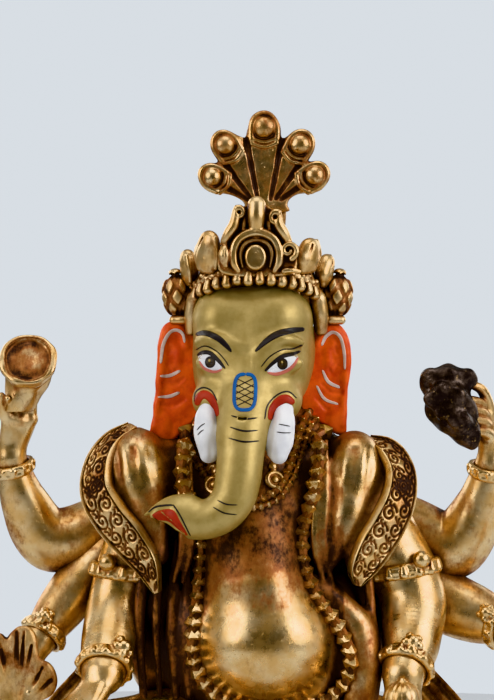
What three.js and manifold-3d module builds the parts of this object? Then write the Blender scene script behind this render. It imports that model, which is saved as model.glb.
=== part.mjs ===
// A gilt six-armed Ganesha seated on a lotus base, built from separate castings.
// Millimetres, +Z up. The idol faces -Y, and left and right are the idol's own: left is +X.
// The origin is the middle of the base plate's underside.
import * as THREE from "three";
import { mergeVertices } from "three/addons/utils/BufferGeometryUtils.js";
import Module from "manifold-3d";

const wasm = await Module();
wasm.setup();

// ---- Driving dimensions ----
const GAP = 0.3; // clearance between neighbouring castings
const SMOOTHING = 0.1; // the slivers left by a cut are merged within this
const HEAD = { x: 0.5, y: -2, turn: -7 }; // the head's axis, and how far it looks to the idol's right, in degrees
const BASE = { radius: 64, depthShare: 0.77, height: 36, wall: 3, petals: 12 };
const PETAL_RISE = 5.5;
const PLATE = { radius: 59, thickness: 1.2 };
const SPIGOT = { outer: 13, inner: 10.5, bottom: BASE.height - BASE.wall - 2, top: 46 };
const NECK = { radius: 9, bottom: 126, top: 151 };
const RIVET = { radius: 1.5, headRadius: 2.6, length: 9 };
const HOOD = { x: 1.6, y: 2.8, z: 199, thickness: 3 };
const RIGHT = -1;
const LEFT = 1;

// The rounded masses of each casting: centre x, y, z, then radii x, y, z.
const TORSO_MASSES = [
  [2.5, -8, 80, 31, 26, 27], // belly
  [1.5, 5, 98, 28, 17, 28], // back
  [0.5, -1, 115, 27, 17, 19], // chest
  [-23.5, -3, 123, 13, 13, 14.5], // right shoulder
  [26, -3, 122.5, 13, 13, 14.5], // left shoulder
];
const TORSO_HOLLOW = [2.3, -6, 81, 26, 19, 23.5];
const HEAD_MASSES = [
  [0, 0, 160, 17.8, 18.5, 19], // skull
  [-8.2, -7.5, 168.5, 9.6, 10.6, 9.6], // right forehead dome
  [8.2, -7.5, 168.5, 9.6, 10.6, 9.6], // left forehead dome
  [-9.3, -8, 151, 8.6, 10, 10.5], // right cheek
  [9.3, -8, 151, 8.6, 10, 10.5], // left cheek
];
const TRUNK = {
  line: [
    [0, -8, 157], [0, -15.5, 148], [0.3, -22, 138.5], [0.4, -25, 129.5], [-0.8, -27, 121.5],
    [-5.6, -28.5, 115.2], [-12.5, -29, 113], [-19, -28.5, 114.6], [-25, -27.5, 115.6],
  ],
  radii: [10, 9.6, 7.4, 6.7, 6.5, 6, 5.3, 4, 1.4],
};

// Each arm runs shoulder, upper arm, elbow, forearm, wrist; the hand is a rounded palm beyond the wrist.
const ARMS = {
  arm_front_right: {
    line: [[-27, -3, 122], [-33, -4, 107], [-38, -5, 92], [-40, -13, 80], [-41, -20.5, 72.5]],
    radii: [10, 9.2, 8.2, 7.4, 6],
    palm: [-43, -27.5, 65.5, 6.2, 7, 4.2],
  },
  arm_front_left: {
    line: [[28, -3, 122], [36.5, -4, 107], [43, -5, 93], [42.5, -13, 80.5], [40, -20.5, 72.5]],
    radii: [10, 9.6, 9.4, 8.2, 6],
    palm: [39.5, -27.5, 61.5, 6.2, 7, 4.2],
  },
  arm_upper_right: {
    line: [[-25, 7, 117], [-41, 9, 111.5], [-56, 7, 106.5], [-64, 3, 117], [-67.5, -1, 130]],
    radii: [9, 8.2, 9, 6.8, 4.2],
    palm: [-65, -3.5, 139.5, 5.2, 4.5, 6.5],
  },
  arm_upper_left: {
    line: [[26, 7, 117], [42, 9, 111], [55, 7, 105], [62.5, 3, 116], [65.5, -1, 128.5]],
    radii: [9, 8.4, 9.4, 7, 4.2],
    palm: [63.5, -3, 138, 5, 4.5, 6.5],
  },
  arm_middle_right: {
    line: [[-24, 8, 112], [-37, 8, 106], [-47, 6, 97], [-54, 2, 88], [-59.5, -3, 80]],
    radii: [8.5, 8, 7.4, 6.6, 5],
    palm: [-63.5, -8, 73.5, 4.6, 4.2, 5.6],
  },
  arm_middle_left: {
    line: [[25, 8, 108], [38, 8, 101.5], [50, 7, 91.5], [61, 3, 86.5], [69, -2, 83.5]],
    radii: [8.5, 8.6, 8.9, 8, 5],
    palm: [74, -6, 81.5, 4.6, 4.5, 5.2],
  },
};

// ---- Solids ----
const vector = (p) => new THREE.Vector3(...p);

// A closed three.js geometry as a manifold-3d solid.
function solid(geometry) {
  const bare = geometry.clone();
  bare.deleteAttribute("normal");
  bare.deleteAttribute("uv");
  const merged = mergeVertices(bare, 1e-4);
  return new wasm.Manifold(
    new wasm.Mesh({
      numProp: 3,
      vertProperties: merged.attributes.position.array,
      triVerts: new Uint32Array(merged.index.array),
    }),
  );
}

const join = (shapes) => shapes.reduce((whole, shape) => whole.add(shape));
const cut = (shape, ...tools) => tools.reduce((left, tool) => left.subtract(tool), shape);

// An ellipsoid with its poles along Z. turn and lean swing it about Z and then X, in degrees.
function ball([x, y, z, rx, ry, rz], { grow = 0, segments = 12, lean = 0, turn = 0 } = {}) {
  const geometry = new THREE.SphereGeometry(1, segments, Math.round(segments * 0.62));
  geometry.rotateX(Math.PI / 2);
  geometry.scale(rx + grow, ry + grow, rz + grow);
  geometry.rotateY(THREE.MathUtils.degToRad(lean));
  geometry.rotateZ(THREE.MathUtils.degToRad(turn));
  geometry.translate(x, y, z);
  return solid(geometry);
}

// A cylinder or cone between two points.
function rod(from, to, radiusFrom, radiusTo = radiusFrom, segments = 12) {
  const a = vector(from);
  const along = vector(to).sub(a);
  const geometry = new THREE.CylinderGeometry(radiusTo, radiusFrom, along.length(), segments);
  geometry.translate(0, along.length() / 2, 0);
  const swing = new THREE.Quaternion().setFromUnitVectors(new THREE.Vector3(0, 1, 0), along.normalize());
  geometry.applyQuaternion(swing);
  geometry.translate(a.x, a.y, a.z);
  return solid(geometry);
}

// A rounded section carried along a smooth line. Each size is a radius, or a half thickness and a half width.
// The thickness points away from `pivot` when there is one.
function sweep(line, sizes, { sides = 10, steps = 3 * line.length, closed = false, grow = 0, pivot = null } = {}) {
  const path = new THREE.CatmullRomCurve3(line.map(vector), closed);
  const pairs = sizes.map((s) => (Array.isArray(s) ? vector([...s, 0]) : vector([s, s, 0])));
  const section = new THREE.CatmullRomCurve3(pairs, closed);
  const rings = closed ? steps : steps + 1;
  const points = [];
  let normal = new THREE.Vector3(0.3, 0.2, 0.9);
  for (let i = 0; i < rings; i++) {
    const centre = path.getPoint(i / steps);
    const along = path.getTangent(i / steps);
    const half = section.getPoint(i / steps);
    if (pivot) normal = centre.clone().sub(vector(pivot));
    normal.addScaledVector(along, -normal.dot(along)).normalize();
    const across = along.clone().cross(normal);
    for (let j = 0; j < sides; j++) {
      const angle = (2 * Math.PI * j) / sides;
      const p = centre.clone().addScaledVector(normal, (half.x + grow) * Math.cos(angle));
      points.push(...p.addScaledVector(across, (half.y + grow) * Math.sin(angle)));
    }
  }
  const faces = [];
  for (let i = 0; i < (closed ? rings : rings - 1); i++) {
    for (let j = 0; j < sides; j++) {
      const next = ((i + 1) % rings) * sides;
      const [a, b] = [i * sides + j, i * sides + ((j + 1) % sides)];
      const [c, d] = [next + ((j + 1) % sides), next + j];
      faces.push(a, b, c, a, c, d);
    }
  }
  if (!closed) {
    const last = (rings - 1) * sides;
    points.push(...path.getPoint(0), ...path.getPoint(1));
    const caps = rings * sides;
    for (let j = 0; j < sides; j++) {
      const k = (j + 1) % sides;
      faces.push(caps, k, j, caps + 1, last + j, last + k);
    }
  }
  const geometry = new THREE.BufferGeometry();
  geometry.setAttribute("position", new THREE.Float32BufferAttribute(points, 3));
  geometry.setIndex(faces);
  return solid(geometry);
}

// A closed loop about a centre. place(angle) gives each point, angle 0 being the front.
function loop(place, count) {
  return Array.from({ length: count }, (_, i) => place((2 * Math.PI * i) / count));
}

// Beads threaded on a closed line, as one body: a ring that swells and narrows `count` times.
function beads(line, radius, count) {
  const path = new THREE.CatmullRomCurve3(line.map(vector), true);
  const even = Array.from({ length: count * 2 }, (_, i) => [...path.getPointAt(i / (count * 2))]);
  const sizes = even.map((_, i) => (i % 2 ? radius * 0.72 : radius));
  return sweep(even, sizes, { sides: 5, steps: count * 2, closed: true });
}

// How far forward the ellipsoids reach at x, z: the smallest y of their surface there.
function frontOf(masses, x, z) {
  const reach = masses.map(([cx, cy, cz, rx, ry, rz]) => {
    const left = 1 - ((x - cx) / rx) ** 2 - ((z - cz) / rz) ** 2;
    return left > 0 ? cy - ry * Math.sqrt(left) : cy;
  });
  return Math.min(...reach);
}

// ---- The scene graph ----
const idol = new THREE.Group();
const headGroup = new THREE.Group();
headGroup.position.set(HEAD.x, HEAD.y, 0);
headGroup.rotation.z = THREE.MathUtils.degToRad(HEAD.turn);
idol.add(headGroup);

const finishes = {
  gilt: { color: 0xc9963f, roughness: 0.3, metalness: 1 },
  dark: { color: 0x3b2f28, roughness: 0.45, metalness: 0.8 },
  copper: { color: 0xa85f3a, roughness: 0.45, metalness: 1 },
  goldPaint: { color: 0xb39a58, roughness: 0.5, metalness: 0.4 },
  orange: { color: 0xc83a0a, roughness: 0.6, metalness: 0 },
  white: { color: 0xe4e6ee, roughness: 0.5, metalness: 0 },
};

function add(name, shape, finish = "gilt", group = idol) {
  const { vertProperties, triVerts } = biggest(shape.simplify(SMOOTHING)).getMesh();
  const geometry = new THREE.BufferGeometry();
  geometry.setAttribute("position", new THREE.BufferAttribute(new Float32Array(vertProperties), 3));
  geometry.setIndex(new THREE.BufferAttribute(new Uint32Array(triVerts), 1));
  geometry.computeVertexNormals();
  const mesh = new THREE.Mesh(geometry, new THREE.MeshStandardMaterial(finishes[finish]));
  mesh.name = name;
  group.add(mesh);
}

// A shape given in the idol's frame, seen in the head's turned frame.
const inHeadFrame = (shape) => shape.translate([-HEAD.x, -HEAD.y, 0]).rotate([0, 0, -HEAD.turn]);

// ---- Lotus base, its closing plate, and the spigot joint under the legs ----
function lathe(profile) {
  const geometry = new THREE.LatheGeometry(profile.map(([r, z]) => new THREE.Vector2(r, z)), 24);
  geometry.rotateX(Math.PI / 2);
  geometry.scale(1, BASE.depthShare, 1);
  return solid(geometry);
}

// Two rows of petals, the lower row turned half a petal from the upper, swell out of the turned core.
function lotusBase() {
  const r = BASE.radius;
  const outline = [
    [0, 0], [r - 0.6, 0], [r, 2], [r, 5.5], [r - 7, 7], [r - 7, 10], [r - 9, 14], [r - 14, 18.6],
    [r - 11, 22], [r - 8, 27], [r - 7, 31], [r - 8, 34], [r - 8, BASE.height], [0, BASE.height],
  ];
  const segments = BASE.petals * 4;
  const geometry = new THREE.LatheGeometry(outline.map(([x, z]) => new THREE.Vector2(x, z)), segments);
  geometry.rotateX(Math.PI / 2);
  const spots = geometry.attributes.position;
  for (let i = 0; i < spots.count; i++) {
    const [x, y, z] = [spots.getX(i), spots.getY(i), spots.getZ(i)];
    const phase = (Math.atan2(y, x) * BASE.petals) / 2;
    const rise = z > 18.7 ? bulge(z, 18.6, 33.5) * Math.abs(Math.cos(phase)) : bulge(z, 6, 18.4) * Math.abs(Math.sin(phase));
    const grown = 1 + (PETAL_RISE * rise) / Math.max(Math.hypot(x, y), 1);
    spots.setXY(i, x * grown, y * grown * BASE.depthShare);
  }
  const core = solid(geometry);
  const hollow = lathe([
    [0, PLATE.thickness], [PLATE.radius - 1.5, PLATE.thickness], [r - 10, 7], [r - 18, 15], [r - 18, 19],
    [r - 13, 26], [r - 12, BASE.height - BASE.wall], [0, BASE.height - BASE.wall],
  ]);
  const { radius, thickness } = PLATE;
  const recess = lathe([[0, -1], [radius + GAP, -1], [radius + GAP, thickness + GAP], [0, thickness + GAP]]);
  const hole = rod([0, 0, 20], [0, 0, 60], SPIGOT.outer + GAP * 1.5, SPIGOT.outer + GAP * 1.5, 14);
  return cut(core, hollow, recess, hole);
}

// 0 at both heights, 1 midway between them.
const bulge = (z, low, high) => Math.max(0, Math.sin((Math.PI * (z - low)) / (high - low)));

function basePlate() {
  return lathe([[0, 0], [PLATE.radius, 0], [PLATE.radius, PLATE.thickness], [0, PLATE.thickness]]);
}

// ---- Body ----
function neck(grow = 0) {
  const { radius, bottom, top } = NECK;
  return rod([HEAD.x, HEAD.y, bottom], [HEAD.x, HEAD.y, top + grow], radius + grow, radius + grow, 12);
}

const throat = (grow = 0) => ball([0.5, -1, 129, 15.5, 13.5, 11.5], { grow });
const torsoForm = (grow = 0) =>
  join([...TORSO_MASSES.map((m) => ball(m, { grow, segments: m[3] > 20 ? 16 : 12 })), throat(grow), neck(grow)]);

function torso() {
  const mouth = rod([0, 0, 40], [0, 0, 75], SPIGOT.inner, SPIGOT.inner, 10);
  const hollow = ball(TORSO_HOLLOW, { segments: 10 }).add(mouth);
  const rivets = Object.values(RIVETS).map((r) => rivet(r, GAP));
  return cut(torsoForm(), hollow, ...rivets);
}

function legsForm(grow = 0) {
  const floor = rod([0, 0, -60], [0, 0, BASE.height + GAP - grow], 150);
  const masses = [ball([0, 2, 54, 34, 25, 17], { grow, segments: 12 })];
  for (const side of [RIGHT, LEFT]) {
    masses.push(
      sweep([[side * 12, 4, 51], [side * 30, -4, 51], [side * 46, -13, 49.5]], [15, 13.8, 12.6], { sides: 10, steps: 4, grow }),
      ball([side * 46.5, -14, 49.5, 12.4, 12, 12.6], { grow, segments: 10 }),
    );
  }
  masses.push(
    sweep([[-46, -15, 48], [-22, -28, 45.5], [4, -34, 43.2]], [10.5, 8.6, 6], { sides: 8, steps: 5, grow }),
    ball([14, -35.5, 42.8, 10.5, 5, 5.2], { grow, segments: 8, turn: -8 }),
    sweep([[46, -15, 48], [26, -25, 45.5], [6, -27, 43]], [10.5, 8.6, 6.4], { sides: 8, steps: 5, grow }),
    ball([-24, -38, 41.6, 9.5, 4.6, 4.4], { grow, segments: 8, turn: 14 }),
  );
  return cut(join(masses), floor);
}

function legs() {
  const { outer, inner, bottom, top } = SPIGOT;
  const bore = rod([0, 0, bottom - 1], [0, 0, 80], inner, inner, 14);
  const spigot = rod([0, 0, bottom], [0, 0, top], outer, outer, 14);
  return cut(join([legsForm(), spigot]), torsoForm(GAP), bore);
}

// ---- Arms, their rivets, and the ornaments worn on them ----
const RIVETS = {
  arm_rivet_upper_right: [-24, 12, 117.5],
  arm_rivet_upper_left: [25, 12, 117.5],
  arm_rivet_middle_right: [-25, 13, 106.5],
  arm_rivet_middle_left: [24, 13, 105.5],
};

// A round-headed rivet driven forward through an arm's root into the back.
function rivet([x, y, z], grow = 0) {
  const { radius, headRadius, length } = RIVET;
  const shank = rod([x, y - length, z], [x, y + 4.6, z], radius + grow, radius + grow, 6);
  return shank.add(ball([x, y + 4.2, z, headRadius, 1.4, headRadius], { grow, segments: 6 }));
}

function armForm(name, grow = 0) {
  const { line, radii, palm } = ARMS[name];
  const wrist = line[line.length - 1];
  const limb = sweep(line, radii, { sides: 8, steps: 7, grow });
  const heel = sweep([wrist, palm.slice(0, 3)], [radii[4], palm[4] * 0.9], { sides: 6, steps: 2, grow });
  return join([limb, ball([...line[0], radii[0], radii[0], radii[0]], { grow, segments: 8 }), heel, ball(palm, { grow, segments: 6 })]);
}

// A ring of beads worn square to an arm between two of its points. `share` is how far along it sits.
function armRing(name, from, share, radius, bead, count) {
  const { line, radii } = ARMS[name];
  const [a, b] = [vector(line[from]), vector(line[from + 1])];
  const centre = a.clone().lerp(b, share);
  const along = b.clone().sub(a).normalize();
  const front = new THREE.Vector3(0, -1, 0).addScaledVector(along, along.y).normalize();
  const across = along.clone().cross(front);
  const reach = radius ?? THREE.MathUtils.lerp(radii[from], radii[from + 1], share) + bead * 0.55;
  const line3 = loop((angle) => {
    const p = centre.clone().addScaledVector(front, reach * Math.cos(angle));
    return [...p.addScaledVector(across, reach * Math.sin(angle))];
  }, 8);
  return beads(line3, bead, count);
}

// ---- Shoulder bands and scarves: flat ribbons ----
const BANDS = {
  shoulder_band_right: [
    [-33, -2, 139.6], [-39.6, -7, 135.4], [-43.2, -10.6, 129], [-43, -13.6, 121.5], [-39.2, -16.2, 114.6],
    [-34, -18, 108.6], [-29.4, -18.8, 102.2], [-26.4, -18.6, 94.4],
  ],
  shoulder_band_left: [
    [32.4, -2, 137.6], [37.4, -7.6, 134], [40, -12, 127.4], [39, -15, 119.6], [35.8, -17.2, 112.6],
    [31.8, -18.6, 106.2], [28.6, -19, 100.4], [27.6, -18.8, 96.4],
  ],
};
const BAND_SIZES = [[1, 2.2], [1.3, 3.6], [1.5, 4.6], [1.6, 5.2], [1.6, 5.6], [1.5, 5.4], [1.3, 3.8], [0.8, 1]];
const band = (name, grow = 0) => {
  const side = Math.sign(BANDS[name][0][0]);
  return sweep(BANDS[name], BAND_SIZES, { sides: 8, steps: 12, grow, pivot: [side * 21, 14, 118] });
};

function scarf(side, grow = 0) {
  const line = [[31, 12, 97], [36, 13, 86], [41, 12, 76], [46, 10, 67], [54, 6, 58], [62, 1, 49], [66, -2, 42]];
  const sizes = [[1.2, 3], [1.3, 4.2], [1.3, 4.8], [1.3, 5.2], [1.3, 5.6], [1.3, 5.6], [1.1, 4.2]];
  const mirrored = line.map(([x, y, z]) => [side * x, y, z]);
  return sweep(mirrored, sizes, { sides: 8, steps: 9, grow, pivot: [side * 30, -150, 60] });
}

// ---- Body ornaments ----
const GARLAND_FRONT = [
  [18.5, 134], [16.5, 127], [14, 118], [12.4, 108], [14.6, 99], [19.8, 91], [25.3, 82.5], [26.5, 74.3],
  [22.6, 68], [15.2, 64], [6, 62.2], [-3.6, 62.6], [-10.5, 66], [-15.7, 73], [-17.9, 81.5], [-17.9, 91],
  [-17.2, 101], [-17.3, 110], [-19, 118], [-20, 126.5], [-19.5, 134],
];

function garland(grow = 0) {
  const front = GARLAND_FRONT.map(([x, z]) => [x, frontOf(TORSO_MASSES, x, z) - 0.7, z]);
  const behind = [[-15, 8, 139.5], [0.5, 13, 141.5], [15.5, 8, 139.5]];
  return beads([...front, ...behind], 1.9 + grow, 32);
}

function collar(grow = 0) {
  const line = loop((a) => [0.5 + 15.2 * Math.sin(a), -2 - 15.4 * Math.cos(a), 131.5 - 5.5 * Math.cos(a)], 12);
  return beads(line, 1.8 + grow, 14);
}

// A round pendant lying on the chest, with the bead it hangs from.
function pendant(x, z) {
  const y = frontOf(TORSO_MASSES, x, z);
  return rod([x, y + 0.4, z], [x, y - 1.6, z], 3.3, 2.8, 10).add(rod([x, y + 0.4, z + 2], [x, y - 0.4, z + 5.6], 1.4, 1, 6));
}

function anklet(centre, along) {
  const axis = vector(along).normalize();
  const up = new THREE.Vector3(0, 0, 1).addScaledVector(axis, -axis.z).normalize();
  const across = axis.clone().cross(up);
  const ring = loop((angle) => {
    const p = vector(centre).addScaledVector(up, 7.2 * Math.cos(angle));
    return [...p.addScaledVector(across, 7.2 * Math.sin(angle))];
  }, 8);
  return beads(ring, 1.5, 6);
}

// ---- Head, ears and tusks, in the head's frame ----
const headForm = (grow = 0) =>
  join([
    ...HEAD_MASSES.map((m) => ball(m, { grow, segments: 12 })),
    sweep(TRUNK.line, TRUNK.radii, { sides: 8, steps: 14, grow }),
  ]);

function tuskForm(side, grow = 0) {
  const line = [[side * 10.2, -13.5, 147.5], [side * 10.7, -17.4, 143], [side * 10.6, -20, 137], [side * 9.8, -21.2, 131.2]];
  return sweep(line, [2, 2.8, 2.9, 1.5], { sides: 8, steps: 5, grow });
}

const EAR = { root: 16.2, y: -4.5, thickness: 3.2, sweep: 20 };

// A hanging ear: a flat leaf swept back from the side of the head.
function earForm(side, grow = 0) {
  const outline = new THREE.Shape();
  outline.moveTo(0, 166);
  outline.bezierCurveTo(1.5, 169.5, 6.5, 170, 8.6, 165);
  outline.bezierCurveTo(11.5, 157, 10.5, 147, 12.6, 139);
  outline.bezierCurveTo(13.4, 135.5, 13, 131.8, 9.5, 132.2);
  outline.bezierCurveTo(5.5, 133, 1.5, 137, 0, 143);
  const depth = EAR.thickness + 2 * grow;
  const geometry = new THREE.ExtrudeGeometry(outline, { depth, bevelEnabled: false, curveSegments: 4 });
  geometry.rotateX(Math.PI / 2);
  geometry.translate(0, depth / 2, 0);
  if (side === RIGHT) geometry.rotateZ(Math.PI).rotateX(0);
  geometry.rotateZ(side * THREE.MathUtils.degToRad(EAR.sweep));
  geometry.translate(side * EAR.root, EAR.y, 0);
  return solid(geometry);
}

// ---- Crown, in the head's frame ----
const crownRing = (angle, grow = 0) => [
  (18.6 + grow) * Math.sin(angle),
  1 - (18.6 + grow) * Math.cos(angle),
  171.3 + 7.4 * Math.max(0, Math.cos(angle)) ** 1.4,
];
const CROWN_LEAVES = {
  crown_leaf_front_right: { angle: -33, height: 7, width: 4.6 },
  crown_leaf_front_left: { angle: 36, height: 7, width: 4.6 },
  crown_leaf_side_right: { angle: -62, height: 6.2, width: 4.2 },
  crown_leaf_side_left: { angle: 64, height: 6, width: 4.2 },
  crown_leaf_back_right: { angle: -126, height: 5.6, width: 4.2 },
  crown_leaf_back_left: { angle: 126, height: 5.6, width: 4.2 },
};
const capForm = (grow = 0) => ball([0, 2.5, 175, 17.4, 17, 14.6], { grow, segments: 12 });

function crownBand(grow = 0) {
  return beads(loop((a) => crownRing(a, 0.9), 16), 1.9 + grow, 18);
}

function crownLeaf({ angle, height, width }) {
  const radians = THREE.MathUtils.degToRad(angle);
  const [x, y, z] = crownRing(radians, 1.4);
  return ball([x, y, z + height, 1.9, width, height], { segments: 6, lean: 8, turn: angle - 90 });
}

function medallion(grow = 0) {
  const y = -19.4;
  const disc = rod([0, y - 1.2, 186], [0, y + 1.4 + grow, 186], 6.3 + grow, 6.6 + grow, 12);
  const boss = ball([0, y - 1.2, 185.8, 3.1, 1.3, 3.1], { grow, segments: 6 });
  const plate = ball([0, y + 0.6, 189, 8, 1.3, 9.5], { grow, segments: 8 });
  const bud = ball([0.3, y - 0.4, 196.8, 2.4, 1.8, 5.2], { grow, segments: 6 });
  const scrolls = [RIGHT, LEFT].map((side) =>
    sweep([[side * 7.4, y, 188], [side * 5.8, y, 192.5], [side * 4.4, y, 197], [side * 5.4, y, 199]], [1.6, 1.7, 1.6, 1.1], { sides: 5, steps: 4, grow }),
  );
  return join([disc, boss, plate, bud, ...scrolls]).translate([2, 0, 0]);
}

const rosette = (side, grow = 0) => ball([side * 22.6, -1.5, 175.5, 4, 4.6, 6.2], { grow, segments: 8 });

// ---- Cobra hood behind the crown ----
const HOOD_HEADS = [[-13.6, 7.6], [-9.8, 17], [0.3, 22.6], [10.4, 16.6], [14.8, 8]];

function hood() {
  const fan = new THREE.Shape();
  fan.moveTo(-4.2, -2);
  fan.lineTo(-4.6, 0.5);
  fan.bezierCurveTo(-6, 3.6, -9, 4.6, -12.6, 5.4);
  fan.lineTo(-13.4, 9);
  fan.lineTo(-9.2, 12);
  fan.lineTo(-10.4, 15);
  fan.lineTo(-7.6, 18.4);
  fan.lineTo(-3.4, 17.6);
  fan.lineTo(-2.6, 22.6);
  fan.lineTo(3.2, 22.6);
  fan.lineTo(4.2, 17.4);
  fan.lineTo(8.2, 18.4);
  fan.lineTo(11, 14.6);
  fan.lineTo(10, 11.6);
  fan.lineTo(14.6, 9.6);
  fan.lineTo(14, 5.8);
  fan.bezierCurveTo(10, 5, 6.4, 4, 4.8, 0.5);
  fan.lineTo(4.4, -2);
  const geometry = new THREE.ExtrudeGeometry(fan, { depth: HOOD.thickness, bevelEnabled: false, curveSegments: 3 });
  geometry.rotateX(Math.PI / 2);
  geometry.translate(HOOD.x, HOOD.y + HOOD.thickness / 2, HOOD.z);
  const heads = HOOD_HEADS.map(([u, v]) => ball([HOOD.x + u, HOOD.y - 0.3, HOOD.z + v, 3, 2.6, 3], { segments: 6 }));
  return join([solid(geometry), ...heads]);
}

function hoodStem(grow = 0) {
  const { x, y, z } = HOOD;
  const line = [[x, y + 3.6, z + 1], [x, y + 6.4, z - 5], [x - 0.4, y + 12, z - 12], [x - 0.8, y + 17.2, z - 21], [x - 1, y + 17.6, z - 31]];
  return sweep(line, [[1.4, 3.6], [1.6, 4], [1.8, 3.8], [1.8, 3.4], [1.2, 2.4]], { sides: 8, steps: 7, grow, pivot: [x, y - 40, z - 60] });
}

// ---- What the hands hold ----
function bowlForm(grow = 0) {
  const rim = 7.8 + grow;
  const profile = [[0, -grow], [3.6 + grow, -grow], [5.6 + grow, 3], [rim - 0.9, 7], [rim, 9.4], [rim - 0.2, 10.6 + grow], [0, 10.6 + grow]];
  const geometry = new THREE.LatheGeometry(profile.map(([r, z]) => new THREE.Vector2(r, z)), 16);
  geometry.rotateX(Math.PI / 2); // its axis along Z
  geometry.rotateX(THREE.MathUtils.degToRad(62)); // its mouth tipped towards the front
  geometry.translate(-62.3, -0.5, 153);
  return solid(geometry);
}

function conchForm(grow = 0) {
  return sweep(
    [[60.5, -8, 134.5], [57.5, -9.5, 139], [54, -10, 145], [53.5, -9.5, 151], [54.5, -9, 154.8]],
    [2.2, 5.6, 7.8, 7, 2.4],
    { sides: 8, steps: 7, grow },
  );
}

function radishForm(grow = 0) {
  const root = sweep([[-62, -13, 66], [-61, -13.5, 58], [-60, -13, 50], [-59.6, -12, 44]], [3.6, 4.4, 3, 0.9], { sides: 8, steps: 5, grow });
  const leaves = [
    [-72.5, -14.5, 74, 5.6, 1.8, 8.6, 40],
    [-65.5, -15, 76, 6, 2, 9.4, 6],
    [-58.5, -14.5, 71.5, 4.6, 1.8, 7.4, -38],
  ].map(([x, y, z, rx, ry, rz, lean]) => ball([x, y, z, rx, ry, rz], { grow, segments: 8, lean: -lean }));
  return join([root, ball([-63.5, -13.6, 67, 4.6, 2.6, 4], { grow, segments: 8 }), ...leaves]);
}

function goadForm(grow = 0) {
  const [x, y, low, high] = [72.3, -11.6, 58, 104];
  const shaft = rod([x, y, low - grow], [x, y, high + grow], 1.5 + grow, 1.3 + grow, 8);
  const hook = sweep(
    [[x, y, high - 6], [x + 3, y, high - 3], [x + 6, y, high - 5.5], [x + 5.4, y, high - 10.5]],
    [1.8, 1.7, 1.3, 0.6],
    { sides: 6, steps: 6, grow },
  );
  const spear = ball([x, y, high + 2, 2, 1.4, 5.4], { grow, segments: 8 });
  const knob = ball([x, y, low, 2.4, 2.4, 2.4], { grow, segments: 8 });
  return join([shaft, hook, spear, knob]);
}

const sweetForm = (grow = 0) => ball([39, -30.6, 67.6, 5.2, 5.2, 5], { grow, segments: 10 });

// ---- Assembly: each casting is cut back from the ones that it is fitted to ----
const body = torsoForm(GAP);
const seat = legsForm(GAP);
const order = ["arm_front_right", "arm_front_left", "arm_upper_right", "arm_upper_left", "arm_middle_right", "arm_middle_left"];
const grownArms = Object.fromEntries(order.map((name) => [name, armForm(name, GAP)]));
const allArms = join(Object.values(grownArms));
const bands = Object.keys(BANDS);
const held = join([bowlForm(GAP), conchForm(GAP), radishForm(GAP), goadForm(GAP), sweetForm(GAP)]);

add("lotus_base", lotusBase());
add("base_plate", basePlate(), "copper");
add("legs", legs());
add("torso", torso());

order.forEach((name, i) => {
  const others = order.slice(0, i).map((other) => grownArms[other]);
  const rivets = Object.values(RIVETS).map((r) => rivet(r, GAP));
  add(name, cut(armForm(name), body, seat, held, ...others, ...rivets));
});
for (const [name, at] of Object.entries(RIVETS)) add(name, rivet(at), "copper");

// The largest of a shape's separate bodies, so that a cut leaves no crumbs.
function biggest(shape) {
  return shape.decompose().reduce((best, piece) => (piece.volume() > best.volume() ? piece : best));
}

for (const name of bands) add(name, cut(band(name), body, allArms));
const grownBands = join(bands.map((name) => band(name, GAP)));
for (const [name, side] of [["scarf_right", RIGHT], ["scarf_left", LEFT]]) {
  const rivets = Object.values(RIVETS).map((r) => rivet(r, GAP));
  add(name, cut(scarf(side), body, seat, allArms, grownBands, ...rivets));
}

const armBeads = [
  ["armlet_right", "arm_front_right", 1, 0.42, null, 2, 7],
  ["armlet_left", "arm_front_left", 1, 0.42, null, 2, 7],
  ["bracelet_front_right", "arm_front_right", 3, 0.7, null, 1.7, 6],
  ["bracelet_front_left", "arm_front_left", 3, 0.7, null, 1.7, 6],
  ["bracelet_upper_right", "arm_upper_right", 3, 0.88, null, 1.5, 6],
  ["bracelet_upper_left", "arm_upper_left", 3, 0.88, null, 1.5, 6],
  ["bracelet_middle_right", "arm_middle_right", 3, 0.8, null, 1.5, 6],
  ["bracelet_middle_left", "arm_middle_left", 3, 0.86, null, 1.5, 6],
];
for (const [name, arm, from, share, radius, bead, count] of armBeads) {
  const ring = armRing(arm, from, share, radius, bead, count);
  add(name, cut(ring, body, seat, allArms, grownBands, held));
}

const head = headForm();
const headInBody = headForm(GAP).rotate([0, 0, HEAD.turn]).translate([HEAD.x, HEAD.y, 0]);
add("belly_garland", cut(garland(), body, allArms, grownBands, headInBody));
add("bead_collar", cut(collar(), body, headInBody, garland(GAP)));
const necklaces = join([garland(GAP), collar(GAP)]);
add("pendant_right", cut(pendant(-11, 121.5), body, necklaces, headInBody));
add("pendant_left", cut(pendant(3.5, 119), body, necklaces, headInBody));
add("anklet_right", cut(anklet([0, -33.2, 43.6], [26, -6, -2]), seat, rod([0, 0, 0], [0, 0, BASE.height + GAP], 150)));
add("anklet_left", cut(anklet([12, -26.8, 43.4], [-20, -2, -2.5]), seat, rod([0, 0, 0], [0, 0, BASE.height + GAP], 150)));

add("offering_bowl", bowlForm());
add("conch_shell", conchForm(), "dark");
add("radish", cut(radishForm(), seat));
add("elephant_goad", goadForm());
add("sweet_ball", sweetForm());

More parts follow.
